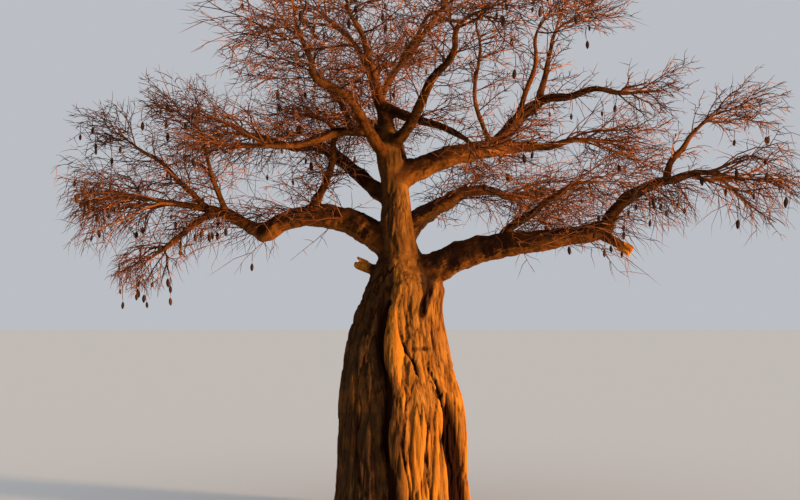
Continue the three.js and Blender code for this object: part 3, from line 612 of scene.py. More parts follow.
def closed(corners, points):
    """Triangles over each open rim of a set of triangles: a fan from a point of its own."""
    edges = np.concatenate([corners[:, [0, 1]], corners[:, [1, 2]], corners[:, [2, 0]]])
    key = np.sort(edges, axis=1) @ np.array([len(points), 1])
    _, first, count = np.unique(key, return_index=True, return_counts=True)
    rim = edges[first[count == 1]]
    label, before = np.arange(len(points)), None
    while before is None or (before != label).any():
        before = label.copy()
        lowest = np.minimum(label[rim[:, 0]], label[rim[:, 1]])
        np.minimum.at(label, rim[:, 0], lowest)
        np.minimum.at(label, rim[:, 1], lowest)
    loops = np.unique(label[rim[:, 0]])
    hubs = np.array([points[rim[label[rim[:, 0]] == loop, 0]].mean(0) for loop in loops])
    hub = len(points) + np.searchsorted(loops, label[rim[:, 0]])
    return hubs, np.stack([rim[:, 1], rim[:, 0], hub], axis=1)


def skin_piece(name, some, material):
    """The part of the skin that some faces make, closed inside the tree, with the whole skin's normals."""
    used, corners = np.unique(quads[some], return_inverse=True)
    corners = corners.reshape(-1, 4)
    triangles = np.concatenate([corners[:, [0, 1, 2]], corners[:, [0, 2, 3]]])
    hubs, lids = closed(triangles, points[used])
    piece = mesh_object(name, np.concatenate([points[used], hubs]), np.concatenate([triangles, lids]))
    shares = dict(furrow=furrow, weather=weather, bare=bare, joint=joint)
    blank = np.zeros(len(hubs))
    carry(piece, grain=np.concatenate([grain[used], hubs]), **{
        mark: np.concatenate([np.clip(values[used], 0, 1), blank]) for mark, values in shares.items()})
    out = np.concatenate([normals[used], np.tile(UP, (len(hubs), 1))])
    piece.data.normals_split_custom_set_from_vertices(out.tolist())
    piece.data.materials.append(material)
    return piece


def node(tree, kind, *values, **settings):
    """A new node. Its inputs are set in turn, or by name where that starts with a capital, each to a plain
    value or to another node's output. The other settings are the node's own."""
    made = tree.nodes.new(kind)
    named = {key: value for key, value in settings.items() if key[0].isupper()}
    for key, value in settings.items():
        if key not in named:
            setattr(made, key, value)
    sockets = [made.inputs[key.replace("_", " ")] for key in named]
    for socket, value in (*zip(made.inputs, values), *zip(sockets, named.values())):
        if isinstance(value, bpy.types.NodeSocket):
            tree.links.new(value, socket)
        else:
            socket.default_value = value
    return made


def mathed(tree, operation, *values, clamp=False):
    """The output of one sum."""
    return node(tree, "ShaderNodeMath", *values, operation=operation, use_clamp=clamp).outputs[0]


def mixed(tree, share, first, second, kind="RGBA"):
    """The output that runs from the first colour or number to the second as the share does from 0 to 1."""
    return node(tree, "ShaderNodeMix", data_type=kind, Factor=share, A=first, B=second).outputs["Result"]


def noised(tree, place, **settings):
    """The output of a noise at a place."""
    return node(tree, "ShaderNodeTexNoise", Vector=place, **settings).outputs["Fac"]


def spread(tree, value, low, high, to_low=0.0, to_high=1.0):
    """A value stretched from one range to another, and held within it."""
    return node(tree, "ShaderNodeMapRange", value, low, high, to_low, to_high).outputs[0]


def group_with(name, kind, inputs, outputs):
    """A new group of nodes with its sockets, what it is given and what it makes."""
    group = bpy.data.node_groups.new(name, kind)
    for way, sockets in (("INPUT", inputs), ("OUTPUT", outputs)):
        for socket, socket_type in sockets.items():
            group.interface.new_socket(socket, in_out=way, socket_type="NodeSocket" + socket_type)
    return group, group.nodes.new("NodeGroupInput").outputs, group.nodes.new("NodeGroupOutput").inputs


def bark_group():
    """Bark as it follows a limb: its patches, its streaks and creases along the grain, and its roughness."""
    scales = dict.fromkeys(("Along", "Across"), "Float")
    colours = dict.fromkeys(("Dark", "Middle", "Light", "Weathered", "Bare Wood"), "Color")
    results = {"Base Color": "Color", "Roughness": "Float", "Height": "Float"}
    group, given, made = group_with("Bark", "ShaderNodeTree", {**scales, **colours}, results)
    along_limb = node(group, "ShaderNodeAttribute", attribute_name="grain").outputs["Vector"]
    darkened, shade_mark, bare_and_highlit, near_joint = (
        node(group, "ShaderNodeAttribute", attribute_name=name).outputs["Fac"]
        for name in ("furrow", "weather", "bare", "joint"))
    spot = node(group, "ShaderNodeTexCoord").outputs["Object"]
    scale = node(group, "ShaderNodeCombineXYZ", given["Along"], given["Across"], given["Across"]).outputs[0]
    streaked = node(group, "ShaderNodeVectorMath", along_limb, scale, operation="MULTIPLY").outputs[0]

    patches = noised(group, spot, Scale=1.9, Detail=5.0, Roughness=0.62, Distortion=0.3)
    pores = noised(group, spot, Scale=46.0, Detail=4.0, Roughness=0.7)
    folds = noised(group, spot, Scale=9.0, Detail=6.0, Roughness=0.66, Distortion=0.6)
    streaks = noised(group, streaked, Scale=1.0, Detail=8.0, Roughness=0.68, Distortion=0.5)
    creases = noised(
        group, streaked, noise_type="RIDGED_MULTIFRACTAL", Scale=1.6, Detail=6.0, Roughness=0.6,
        Distortion=0.6)
    streaks = mixed(group, near_joint, streaks, folds, "FLOAT")
    creases = mixed(group, near_joint, creases, folds, "FLOAT")

    tone = mathed(group, "MULTIPLY_ADD", patches, 0.6, mathed(group, "MULTIPLY", streaks, 0.8))
    tone = spread(group, mathed(group, "MULTIPLY_ADD", pores, 0.12, tone), 0.56, 0.92)
    colour = mixed(group, tone, given["Middle"], given["Light"])
    # The painted shade, patchy at its edge
    patchy = spread(group, patches, 0.35, 0.65, -0.4, 0.3)
    shade_share = mathed(group, "MULTIPLY_ADD", patchy, shade_mark, shade_mark, clamp=True)
    colour = mixed(group, shade_share, colour, given["Weathered"])
    # Bare wood, which also carries the painted highlight on the crests of the ropes
    wood = mixed(group, spread(group, streaks, 0.35, 0.5), given["Light"], given["Bare Wood"])
    colour = mixed(group, bare_and_highlit, colour, wood)
    # Painted shade in the creases of the bump, less on bare wood
    creased = spread(group, creases, 0.7, 1.5, 0.0, 0.75)
    creased = mathed(group, "SUBTRACT", creased, mathed(group, "MULTIPLY", bare_and_highlit, 0.6))
    darkness = mathed(group, "MAXIMUM", darkened, creased, clamp=True)
    raised = mathed(group, "MULTIPLY_ADD", creases, -0.55, streaks)
    group.links.new(mixed(group, darkness, colour, given["Dark"]), made["Base Color"])
    group.links.new(spread(group, pores, 0.3, 0.7, 0.62, 0.95), made["Roughness"])
    group.links.new(mathed(group, "MULTIPLY_ADD", pores, 0.16, raised), made["Height"])
    return group


def finish(name, effect, bump, bump_height, specular, **inputs):
    """A material that one group of nodes feeds, with what the group is given."""
    material = bpy.data.materials.new(name)
    material.use_nodes = True
    tree = material.node_tree
    shader = tree.nodes["Principled BSDF"]
    made = node(tree, "ShaderNodeGroup", node_tree=effect, **inputs).outputs
    bumps = node(tree, "ShaderNodeBump", Strength=bump, Distance=bump_height, Height=made["Height"])
    tree.links.new(bumps.outputs["Normal"], shader.inputs["Normal"])
    for output in made:
        if output.name in shader.inputs:
            tree.links.new(output, shader.inputs[output.name])
    shader.inputs["Specular IOR Level"].default_value = specular
    return material


BARK = bark_group()
BARK_HEIGHT, BARK_SPECULAR = 0.025, 0.03
BARE_WOOD = (0.52, 0.165, 0.014, 1)
trunk_bark = finish(
    "trunk bark", BARK, 1.0, BARK_HEIGHT, BARK_SPECULAR, Along=1.9, Across=20.0,
    Dark=(0.020, 0.0050, 0.0012, 1), Middle=(0.150, 0.038, 0.0045, 1), Light=(0.40, 0.150, 0.024, 1),
    Weathered=(0.050, 0.022, 0.0080, 1), Bare_Wood=BARE_WOOD,
)
bough_bark = finish(
    "bough bark", BARK, 0.8, BARK_HEIGHT, BARK_SPECULAR, Along=6.0, Across=9.0,
    Dark=(0.012, 0.0035, 0.0010, 1), Middle=(0.115, 0.029, 0.0040, 1), Light=(0.30, 0.095, 0.012, 1),
    Weathered=(0.026, 0.0078, 0.0026, 1), Bare_Wood=BARE_WOOD,
)

face_owner = owner[quads].max(1)
face_is_front = points[quads[:, 0], 1] < 0
for piece_name, some in (("trunk_front", face_is_front), ("trunk_back", ~face_is_front)):
    trunk = skin_piece(piece_name, (face_owner == 0) & some, trunk_bark)
    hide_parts("trunk")
    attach(trunk, "root")

BOUGH_PIECES = {
    "leader_and_top": (
        "leader", "leader_top", "inner_right", "upper_left", "front_left", "front_right", "left_riser"),
    "right_boughs": (
        "right_low", "right_elbow", "right_stub", "right_mid", "upper_right", "upper_right_end", "up_right",
        "up_right_out"),
    "left_and_back_boughs": ("left_stub", "left_low", "left_out", "back_right", "back", "back_left"),
}
for piece_name, limbs in BOUGH_PIECES.items():
    some = np.isin(face_owner, [thick.index(name) for name in limbs])
    boughs = skin_piece(piece_name, some, bough_bark)
    if "leader" in limbs:  # the trunk's bark runs on up the leader
        boughs.data.materials.append(trunk_bark)
        runs_on = np.tile(face_owner[some] == thick.index("leader"), 2)
        finish_of = np.zeros(len(boughs.data.polygons), np.int32)
        finish_of[: len(runs_on)] = runs_on
        boughs.data.polygons.foreach_set("material_index", finish_of)
    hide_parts(*[f"bough_{name}" for name in limbs])
    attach(boughs, "root")


# Thin boughs and the stems of the masses
# Upright and hanging boughs as thick as an arm or a wrist, each with the stem of twigs that carries it on.
# They are the same soft wood under thinner bark, knotted where old twigs broke off. Each is one tube along
# its middle line, from a collar sunk in its parent.

GAP = 0.0003  # between a bough's tip and its stem
CROOK = 0.05  # how far a twig wanders from its smooth line, as a share of its length
SHARE = (0.82, 0.7, 0.5)  # a twig's length as a share of its mass's reach or of its parent, by level
STALK = (0.15, 0.33)  # the shortest and longest that a fruit hangs below its twig
THIN_SIDES = 14
THIN_STEP = 0.05  # from one ring of a thin bough to the next
CARRIED_FROM = 0.86  # where on a thick bough the tube begins that carries its stem
CARRIED_GIRTH = 0.6  # and how thick it is there, as a share of the bough
KNOT = 0.007  # how high a knot stands
KNOTS = ((0.11, 2), (0.3, 1))  # how long knots are, and how many layers of noise shape them
KNOTTED = 0.03  # a bough thinner than this has lower knots
THIN_SHADE = 0.85  # how far the top of a thin bough is painted in shade at most
STEM_TIP = 0.001  # half thickness of a stem's tip
STEM_WAY_FROM = 0.96  # a stem carries on as its limb's last stretch runs, from here on
FIRST_STEM_SEED = 101

# Each mass of twigs: the limb it ends, the bearing and rise of its middle line in degrees, how far it
# reaches along that line, how much its twigs hang, its share of finer twigs, and its stalks' length.
Mass = namedtuple("Mass", "limb bearing rise reach hang full stalk", defaults=(0.7, STALK))
MASSES = {
    "right_far": Mass("right_elbow", -2, 0, 2.15, 0.75),
    "right_high": Mass("right_high", 2, 2, 1.65, 0.15),
    "right_mid": Mass("right_mid", 20, 2, 2.0, 0.3),
    "upper_right": Mass("upper_right_end", 14, 0, 2.1, 0.2),
    "up_right_out": Mass("up_right_out", -8, 12, 1.5, 0.2),
    "up_right_top": Mass("up_right_top", -4, 14, 2.1, 0, 0.55),
    "upright": Mass("upright", -20, 30, 1.25, 0, 0.6),
    "inner_right": Mass("inner_right", -22, 34, 1.75, 0.1, 0.55),
    "left_far": Mass("left_out", 176, 13, 2.75, 0.6, 0.9),
    "left_outer": Mass("left_rise_outer", 178, 34, 1.5, 0.1, 0.9),
    "left_inner": Mass("left_rise_inner", 187, 20, 1.6, 0.1, 0.9),
    "left_drop": Mass("left_drop", 200, -38, 1.15, 1.1, 0.8, (0.35, 0.95)),
    "left_riser": Mass("left_riser", 150, 8, 1.9, 0.1, 0.9),
    "upper_left": Mass("upper_left", 186, 26, 2.35, 0.15, 0.6),
    "leader_top": Mass("leader_top", 180, 20, 2.25, 0, 0.55),
    "top_right": Mass("top_right", 20, 12, 1.65, 0.1, 0.55),
    "back_right": Mass("back_right", 50, 8, 2.7, 0.3),
    "back": Mass("back", 96, 6, 2.6, 0.2, 0.55),
    "back_left": Mass("back_left", 140, 8, 2.7, 0.3, 0.55),
    "front_left": Mass("front_left", 232, 8, 2.6, 0.15, 0.5),
    "front_right": Mass("front_right", 312, 6, 2.7, 0.15, 0.5),
    "inner_top": Mass("inner_top", 318, 10, 1.7, 0, 0.5),
    "inner_left": Mass("inner_left", 160, 4, 2.2, 0.1, 0.5),
    "inner_front": Mass("inner_front", -30, 20, 1.8, 0.1, 0.5),
    "front": Mass("front", 268, 14, 2.1, 0, 0.45),
    "back_top": Mass("back_top", 70, 14, 2.0, 0, 0.45),
}


def stem_of(name):
    """The twig that a mass starts with, as a set of one. It carries on from its limb's tip."""
    mass = MASSES[name]
    number = list(MASSES).index(name)
    way = unit(limb_line(mass.limb, 1) - limb_line(mass.limb, STEM_WAY_FROM))
    root = (limb_line(mass.limb, 1) + way * GAP)[None]
    return dict(
        level=0, seed=np.array([number + FIRST_STEM_SEED]), root=root, drawn=root, way=way[None],
        aim=heading(mass.bearing, mass.rise)[None], length=np.array([mass.reach * SHARE[0]]),
        girth=np.array([float(limb_girth(mass.limb, 1))]), hang=np.array([mass.hang]),
        mass=np.array([number]),
    )


def twig_point(twigs, along, root="root"):
    """The point on each twig's middle line: it leaves one way, bends to another, and wanders a little."""
    left, over = across(twigs["way"])
    along = np.broadcast_to(along, twigs["length"].shape)[:, None]
    length, seed = twigs["length"][:, None], twigs["seed"][:, None]
    bend = twigs["way"] * (along - along**2 / 2) + twigs["aim"] * along**2 / 2
    bend = bend + left * CROOK * wander(seed, DRAW["sway"], 1, along)
    return twigs[root] + length * (bend + over * CROOK * wander(seed, DRAW["lift"], 1, along))


def thin_bough(line, girths, number):
    """A tube along a line, with knots, and its grain, its darker bark with painted shade in the dips
    between the knots, and painted shade on its top.
    """
    points, faces = tubes(line[None], girths[None], THIN_SIDES)
    middle, length, girth = (
        np.concatenate([np.repeat(values, THIN_SIDES, axis=0), values[:1], values[-1:]])
        for values in (line, run_along(line), girths))
    offset = points - middle
    knots = sum(KNOT * rough_noise(points / size + number, octaves) for size, octaves in KNOTS)
    out = offset / np.maximum(np.linalg.norm(offset, axis=1, keepdims=True), 1e-6)
    points = points + out * (knots * ramp(girth, 0, KNOTTED))[:, None]
    grain = np.stack([length + LIMB_APART * number, offset[:, 0], offset[:, 1] + offset[:, 2]], axis=1)
    # Darker bark, with painted shade where the surface dips between knots, and painted shade on the top
    furrow = np.clip(0.2 - knots / KNOT * 0.6, 0, 0.8)
    return points, faces, grain, furrow, np.clip(out[:, 2] * 0.9 + 0.2, 0, THIN_SHADE)


thin_parts = []
carries = {mass.limb: name for name, mass in MASSES.items()}
for number, name in enumerate(LIMBS, 50):  # numbers that no limb of the skin has
    if name in thick and name not in carries:
        continue
    start = CARRIED_FROM if name in thick else 0.0
    reach = limb_length(name) * (1 - start)
    share = np.linspace(start, 1, max(6, int(reach / THIN_STEP)))
    line, girths = limb_line(name, share), limb_girth(name, share)
    if name in thick:
        girths = girths * (CARRIED_GIRTH + (1 - CARRIED_GIRTH) * (share - start) / (1 - start))
    if name in carries:
        stem = stem_of(carries[name])
        along = np.linspace(0, 1, max(12, int(stem["length"][0] / THIN_STEP)))[1:]
        line = np.concatenate([line, *[twig_point(stem, a) for a in along]])
        girths = np.concatenate([girths, stem["girth"][0] * (1 - along) + STEM_TIP])
    thin_parts.append(thin_bough(line, girths, number))

thin_boughs = mesh_object("thin_boughs", *joined([part[:2] for part in thin_parts]))
carry(thin_boughs, **{
    name: np.concatenate([part[place] for part in thin_parts])
    for place, name in ((2, "grain"), (3, "furrow"), (4, "weather"))})
thin_boughs.data.materials.append(finish(
    "thin bark", BARK, 0.5, BARK_HEIGHT, BARK_SPECULAR, Along=14.0, Across=9.0,
    Dark=(0.010, 0.0035, 0.0012, 1), Middle=(0.085, 0.023, 0.0045, 1), Light=(0.20, 0.060, 0.010, 1),
    Weathered=(0.020, 0.007, 0.0028, 1), Bare_Wood=BARE_WOOD,
))
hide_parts(*[f"bough_{name}" for name in LIMBS if name not in thick])
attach(thin_boughs, "root")


# Twigs
# Stout, brittle, red-brown twigs, bare in the dry season. Each leaves its parent at a fork, bends outwards,
# droops as its mass does and forks again, down to a finger's length. The first are those of the packed
# solids, and finer ones fill the space between. They are three-sided tapers joined into a few pieces.

SPREAD = 0.62  # how far a mass's space reaches from its stem, as a share of its reach
CLEARANCE = 0.014  # space kept between a packed twig and a limb or a twig of another mass
CHECKS = 24  # places along a limb where a twig's distance to it is measured
STEPS = (4, 2, 1)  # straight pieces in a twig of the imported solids, by level
FORKS = (5, 2, 0)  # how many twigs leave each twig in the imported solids, by level
MORE_FORKS = (17, 9, 4)  # and how many finer ones at most besides
FULL_LENGTH = (2.0, 1.25, 0.7)  # the length of a twig that bears as many: a shorter one bears fewer
STAGGER = (0.2, 0.8)  # where in its own stretch of its parent a twig leaves
FINEST = (0.009, 0.009, 0.0075, 0.0055)  # the least half thickness at a twig's root, by level
GOLDEN_ANGLE = 137.5  # degrees from one twig to the next round their parent
STRAY = 40  # degrees that a twig may stray to either side of that
FLATTEN = 0.6  # how much of a fork's upward or downward turn is kept
HANGS = (0.3, 1.1)  # how much of its mass's hang a twig takes
WEEPING_LONGER = 1.3  # how much longer a finer twig is for its droop
DROOPS_FROM, DROOPS_MOST = 0.2, 0.6  # how much droop doesn't count for that, and how much does at most
CUT_SHORT = 0.5  # how long a finer twig stays, as a share, where its whole length would leave the crown

# How twigs leave their parent: at which angles, their length as a share of its, what chance makes of that
# length, what the parent's root and tip make of it, from where to where on the parent, how far the twigs
# bend outwards, how much they hang, and how much slimmer they are.
Rule = namedtuple("Rule", "angles share lengths length_at place outward hang slimmer")
SOLID = {
    level: Rule((40, 68), SHARE[level], (0.8, 1.3), (1.25, 0.65), (0.14, 0.84), 0.45, 1.0, (0.6, 0.8))
    for level in (1, 2)
}
FINER = {  # long whips, the twigs on them, and short sprigs that stick out from those
    1: Rule((24, 58), 0.85, (0.6, 1.4), (1.2, 0.7), (0.10, 0.96), 0.40, 1.0, (0.3, 0.55)),
    2: Rule((26, 72), 0.60, (0.5, 1.5), (1.2, 0.6), (0.10, 0.92), 0.22, 1.7, (0.3, 0.55)),
    3: Rule((30, 84), 0.42, (0.4, 1.7), (1.3, 0.5), (0.10, 0.86), 0.0, 2.0, (0.3, 0.55)),
}


def place_on(twigs, along):
    """The point on each twig's straight pieces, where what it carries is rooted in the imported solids."""
    steps = STEPS[twigs["level"]]
    before = np.minimum(np.floor(along * steps), steps - 1)
    share = (along * steps - before)[:, None]
    return twig_point(twigs, before / steps) * (1 - share) + twig_point(twigs, (before + 1) / steps) * share


def new_seeds(seed, child):
    """The seeds of the twigs that are that child of theirs."""
    return np.floor(chance(seed, DRAW["child"] + child) * 0x7FFFFFFF).astype(np.int64)


def leaving(seed, way, turned, angles):
    """The direction in which each twig leaves a parent that runs that way, turned so far round it."""
    left, over = across(way)
    around = np.radians(turned + between(-STRAY, STRAY, seed, DRAW["around"]))[:, None]
    lean = np.radians(between(*angles, seed, DRAW["lean"]))[:, None]
    side = left * np.cos(around) + over * np.sin(around)
    side[:, 2] *= FLATTEN
    return unit(way * np.cos(lean) + side * np.sin(lean))


def aimed(way, root, outward, hang):
    """The direction that each twig bends to: outwards and down from the one in which it leaves."""
    return unit(way + unit(root * np.array([1, 1, 0])) * outward - UP * hang[:, None])


def child_of(twigs, child):
    """One child of every twig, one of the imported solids' or a finer one. It is drawn from its parent's
    smooth line, and measured from the straight pieces that the solids have."""
    parent, level = twigs["level"], twigs["level"] + 1
    forks = FORKS[parent] if parent < len(FORKS) else 0
    solid = child < forks
    rule = SOLID[level] if solid else FINER[level]
    order, count = (child, forks) if solid else (child - forks, MORE_FORKS[parent])
    seed = new_seeds(twigs["seed"], child)
    first, last = rule.place
    along = first + (last - first) * ((order + between(*STAGGER, seed, DRAW["place"])) / count)
    way = unit(twigs["way"] * (1 - along)[:, None] + twigs["aim"] * along[:, None])
    start = between(0, 360, twigs["seed"], DRAW["start"])
    way = leaving(seed, way, start + child * GOLDEN_ANGLE, rule.angles)
    drawn = twig_point(twigs, along, "drawn")
    root = place_on(twigs, along) if solid else drawn
    hang = twigs["hang"] * between(*HANGS, seed, DRAW["hang"]) * rule.hang
    share = rule.share * between(*rule.lengths, seed, DRAW["length"])
    share = share * (1 if solid else 1 + WEEPING_LONGER * np.clip(hang - DROOPS_FROM, 0, DROOPS_MOST))
    at_root, at_tip = rule.length_at
    girth = twigs["girth"] * (1 - along) * between(*rule.slimmer, seed, DRAW["girth"])
    return dict(
        level=level, seed=seed, root=root, drawn=drawn, way=way, aim=aimed(way, root, rule.outward, hang),
        length=twigs["length"] * share * (at_root + (at_tip - at_root) * along),
        girth=np.maximum(girth, FINEST[level]), hang=twigs["hang"], mass=twigs["mass"],
    )


def chosen(twigs, keep):
    """Those of a set of twigs."""
    return {key: value if key == "level" else value[keep] for key, value in twigs.items()}


def together(sets):
    """Several sets of twigs of one level as one."""
    first = sets[0]
    return {key: first[key] if key == "level" else np.concatenate([s[key] for s in sets]) for key in first}


def from_pieces(starts, ends, points):
    """The distance of every point to every straight piece, with a row for each piece."""
    line = ends - starts
    share = ((points[None] - starts[:, None]) * line[:, None]).sum(-1) / (line**2).sum(-1)[:, None]
    nearest = starts[:, None] + line[:, None] * np.clip(share, 0, 1)[..., None]
    return np.linalg.norm(points[None] - nearest, axis=-1)


def between_pieces(a, b, c, d):
    """The shortest distance between each piece a to b and each piece c to d."""
    u, v, w = (b - a)[:, None], (d - c)[None], a[:, None] - c[None]
    uu, uv, vv, vw, uw = ((p * q).sum(-1) for p, q in ((u, u), (u, v), (v, v), (v, w), (u, w)))
    det = uu * vv - uv * uv
    s = np.where(det < 1e-15, 0, np.clip((uv * vw - vv * uw) / np.where(det < 1e-15, 1, det), 0, 1))
    t = np.clip((uv * s + vw) / vv, 0, 1)
    s = np.clip((uv * t - uw) / uu, 0, 1)
    return np.linalg.norm(w + u * s[..., None] - v * t[..., None], axis=-1)


ball_share = np.linspace(0, 1, CHECKS + 1)
BALLS = np.concatenate([limb_line(name, ball_share) for name in ("trunk", *LIMBS)])
BALL_GIRTHS = np.concatenate([limb_girth(name, ball_share) for name in ("trunk", *LIMBS)])
BALL_LIMBS = np.repeat(["trunk", *LIMBS], CHECKS + 1)
BALL_PARENTS = np.repeat(["", *[limb.on for limb in LIMBS.values()]], CHECKS + 1)
stem_steps = np.linspace(0, 1, STEPS[0] + 1)
SPINES = np.array([[twig_point(stem_of(name), a)[0] for a in stem_steps] for name in MASSES])
SPACES = np.array([mass.reach * SPREAD for mass in MASSES.values()])


def farness(points):
    """How far each point is from every mass's stem, in shares of how far that mass's space reaches."""
    away = from_pieces(SPINES[:, :-1].reshape(-1, 3), SPINES[:, 1:].reshape(-1, 3), points)
    return away.reshape(len(SPACES), -1, len(points)).min(1) / SPACES[:, None]


def is_clear(starts, ends, girth, number, placed, is_stem=False):
    """Whether straight pieces are clear of every limb and of every other mass."""
    own = list(MASSES.values())[number].limb
    counts = ~(is_stem & ((BALL_LIMBS == own) | (BALL_PARENTS == own)))
    away = from_pieces(starts, ends, BALLS[counts])
    clear = (away >= BALL_GIRTHS[counts] + girth[:, None] + CLEARANCE).all(1)
    others = [p for p in placed if p[0] != number]
    if others:
        c, d, radius = (np.concatenate([p[i] for p in others]) for i in (1, 2, 3))
        clear &= (between_pieces(starts, ends, c, d) > girth[:, None] + radius + CLEARANCE).all(1)
    return clear


placed = []  # mass, start points, end points and half thickness of the straight pieces so far
fruit = []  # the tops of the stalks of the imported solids' fruit, and the stalks' lengths
FRUIT_CHANCE = 0.11
FRUIT_LENGTH, FRUIT_GIRTH = 0.19, 0.048
FRUIT_PLACE = 0.6  # where on its twig the stalk hangs
STALK_GIRTH = 0.007
STALK_INSIDE = 0.25  # how far the stalk reaches into the fruit, as a share of its length


def solid_twigs(twigs, level, number):
    """Those of a mass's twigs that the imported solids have: they keep to its space and clear of all else."""
    ends = np.stack([twig_point(twigs, a) for a in np.linspace(0, 1, STEPS[level] + 1)], axis=1)
    starts, ends = (part.reshape(-1, 3) for part in (ends[:, :-1], ends[:, 1:]))
    girths = np.repeat(twigs["girth"], STEPS[level])
    fits = is_clear(starts, ends, girths, number, placed, level == 0)
    if level:
        away = farness(ends)
        fits &= (away[number] <= 1) & (away.min(0) >= away[number])
    fits = fits.reshape(-1, STEPS[level]).all(1)
    kept = np.repeat(fits, STEPS[level])
    placed.append((number, starts[kept], ends[kept], girths[kept]))
    return chosen(twigs, fits)


def hang_fruit(twigs, number):
    """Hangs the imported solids' fruit on a set of a mass's twigs, where it hangs clear."""
    bearing = chosen(twigs, chance(twigs["seed"], DRAW["fruit"]) <= FRUIT_CHANCE)
    place = np.full(len(bearing["seed"]), FRUIT_PLACE)
    top = place_on(bearing, place)
    drop = between(*list(MASSES.values())[number].stalk, bearing["seed"], DRAW["stalk"])[:, None]
    stalk_end, pod_top, pod_end = (
        top - UP * (drop + FRUIT_LENGTH * share) for share in (STALK_INSIDE, 0, 1))
    hangs = is_clear(top, stalk_end, np.full(len(top), STALK_GIRTH), number, placed)
    hangs &= is_clear(pod_top, pod_end, np.full(len(top), FRUIT_GIRTH), number, placed)
    placed.append((number, pod_top[hangs], pod_end[hangs], np.full(hangs.sum(), FRUIT_GIRTH)))
    fruit.append((twig_point(bearing, place, "drawn")[hangs], drop[hangs, 0]))


grown = [[], [], []]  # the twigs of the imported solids, by level
for number, name in enumerate(MASSES):
    twigs = stem_of(name)
    for level in range(3):
        if level:
            twigs = together([child_of(twigs, child) for child in range(FORKS[level - 1])])
        twigs = solid_twigs(twigs, level, number)
        grown[level].append(twigs)
        if level:
            hang_fruit(twigs, number)
grown = [together(sets) for sets in grown]

LIMB_TWIGS = 13  # twigs on each metre of a limb, along the part that bears any
LIMB_TWIG_LENGTH, LIMB_TWIG_MOST = 0.45, 1.3  # their length as a share of their limb's, and its limit
LIMB_TWIG_GIRTH = (0.010, 0.019)
LIMB_TWIGS_TO = 0.98  # where on its limb the last of them stands
BARE, BARE_GIRTH = 0.08, 0.9  # a thick limb is bare further from its root than a thin one
BARE_LIMBS = ("trunk", "leader", "right_stub", "left_stub")
WEEPING = 0.5  # only a mass that hangs at least this much has twigs under its limbs
STOUT = 0.2  # and only limbs thinner than this at the root
LOWEST_RISE = -0.12  # on the others, twigs sink no more steeply than this
NEAR_LIMB = 1.0  # a finer twig outside its mass's space ends within this of a limb
BATCH = 20000  # how many twigs are measured at a time
FULLNESS = np.array([mass.full for mass in MASSES.values()])
HANGING = np.array([mass.hang for mass in MASSES.values()])
CROWN_SLACK = 0.12  # how far the finer twigs may pass the solids' box
CROWN_BOX = np.array([CAD_BOX[0], CAD_BOX[1]]) + CROWN_SLACK * np.array([[-1], [1]])


def limb_twigs(name):
    """The twigs that one limb bears all along its outer part, each with the mass it lies nearest to."""
    length = limb_length(name)
    bare = BARE + BARE_GIRTH * LIMBS[name].root
    count = int(length * (1 - bare) * LIMB_TWIGS)
    number = np.arange(count)
    seed = new_seeds(number + 1000 * (list(LIMBS).index(name) + 1), 0)
    along = bare + (LIMB_TWIGS_TO - bare) * (number + chance(seed, DRAW["place"])) / count
    root = limb_line(name, along)
    way = unit(limb_line(name, along + 0.01) - limb_line(name, along - 0.01))
    way = leaving(seed, way, number * GOLDEN_ANGLE, SOLID[1].angles)
    reach = min(LIMB_TWIG_LENGTH * length, LIMB_TWIG_MOST)
    reach = reach * between(*SOLID[1].lengths, seed, DRAW["length"])
    mass = farness(root + way * reach[:, None]).argmin(0)
    hang = HANGING[mass]
    twigs = dict(
        level=1, seed=seed, root=root, drawn=root, way=way, length=reach,
        aim=aimed(way, root, SOLID[1].outward, hang * between(*HANGS, seed, DRAW["hang"])),
        girth=between(*LIMB_TWIG_GIRTH, seed, DRAW["girth"]), hang=hang, mass=mass,
    )
    return chosen(twigs, (way[:, 2] > LOWEST_RISE) | ((hang >= WEEPING) & (LIMBS[name].root < STOUT)))


def in_crown(twigs):
    """Whether each twig is outside every limb, and its tip near a limb or in its mass's space."""
    keep = np.ones(len(twigs["seed"]), bool)
    for start in range(0, len(keep), BATCH):
        part = slice(start, start + BATCH)
        some = chosen(twigs, part)
        for along in (0.5, 1.0):
            places = twig_point(some, along, "drawn")
            offsets = places[:, None].astype(np.float32) - BALLS[None].astype(np.float32)
            away = np.linalg.norm(offsets, axis=-1)
            keep[part] &= (away > BALL_GIRTHS).all(1)
        inside = farness(places)[some["mass"], np.arange(len(places))] <= 1
        keep[part] &= inside | (away.min(1) < NEAR_LIMB)
        keep[part] &= ((places > CROWN_BOX[0]) & (places < CROWN_BOX[1])).all(1)
    return keep


def finer(twigs):
    """The finer children of every twig that stay in the crown."""
    level = twigs["level"]
    first = FORKS[level] if level < len(FORKS) else 0
    borne = [child_of(twigs, child) for child in range(first, first + MORE_FORKS[level])]
    odds = twigs["length"] / FULL_LENGTH[level] * (FULLNESS[twigs["mass"]] if level == 0 else 1)
    children = together([chosen(some, chance(some["seed"], DRAW["kept"]) < odds) for some in borne])
    fits = in_crown(children)
    short = chosen(children, ~fits)
    short["length"] = short["length"] * CUT_SHORT
    return together([chosen(children, fits), chosen(short, in_crown(short))])


borne = together([limb_twigs(name) for name in LIMBS if name not in BARE_LIMBS])
borne = chosen(borne, in_crown(borne) & (chance(borne["seed"], DRAW["kept"]) < FULLNESS[borne["mass"]]))
levels = [together([grown[1], finer(grown[0]), borne])]
levels.append(together([grown[2], finer(levels[0])]))
levels.append(finer(levels[1]))

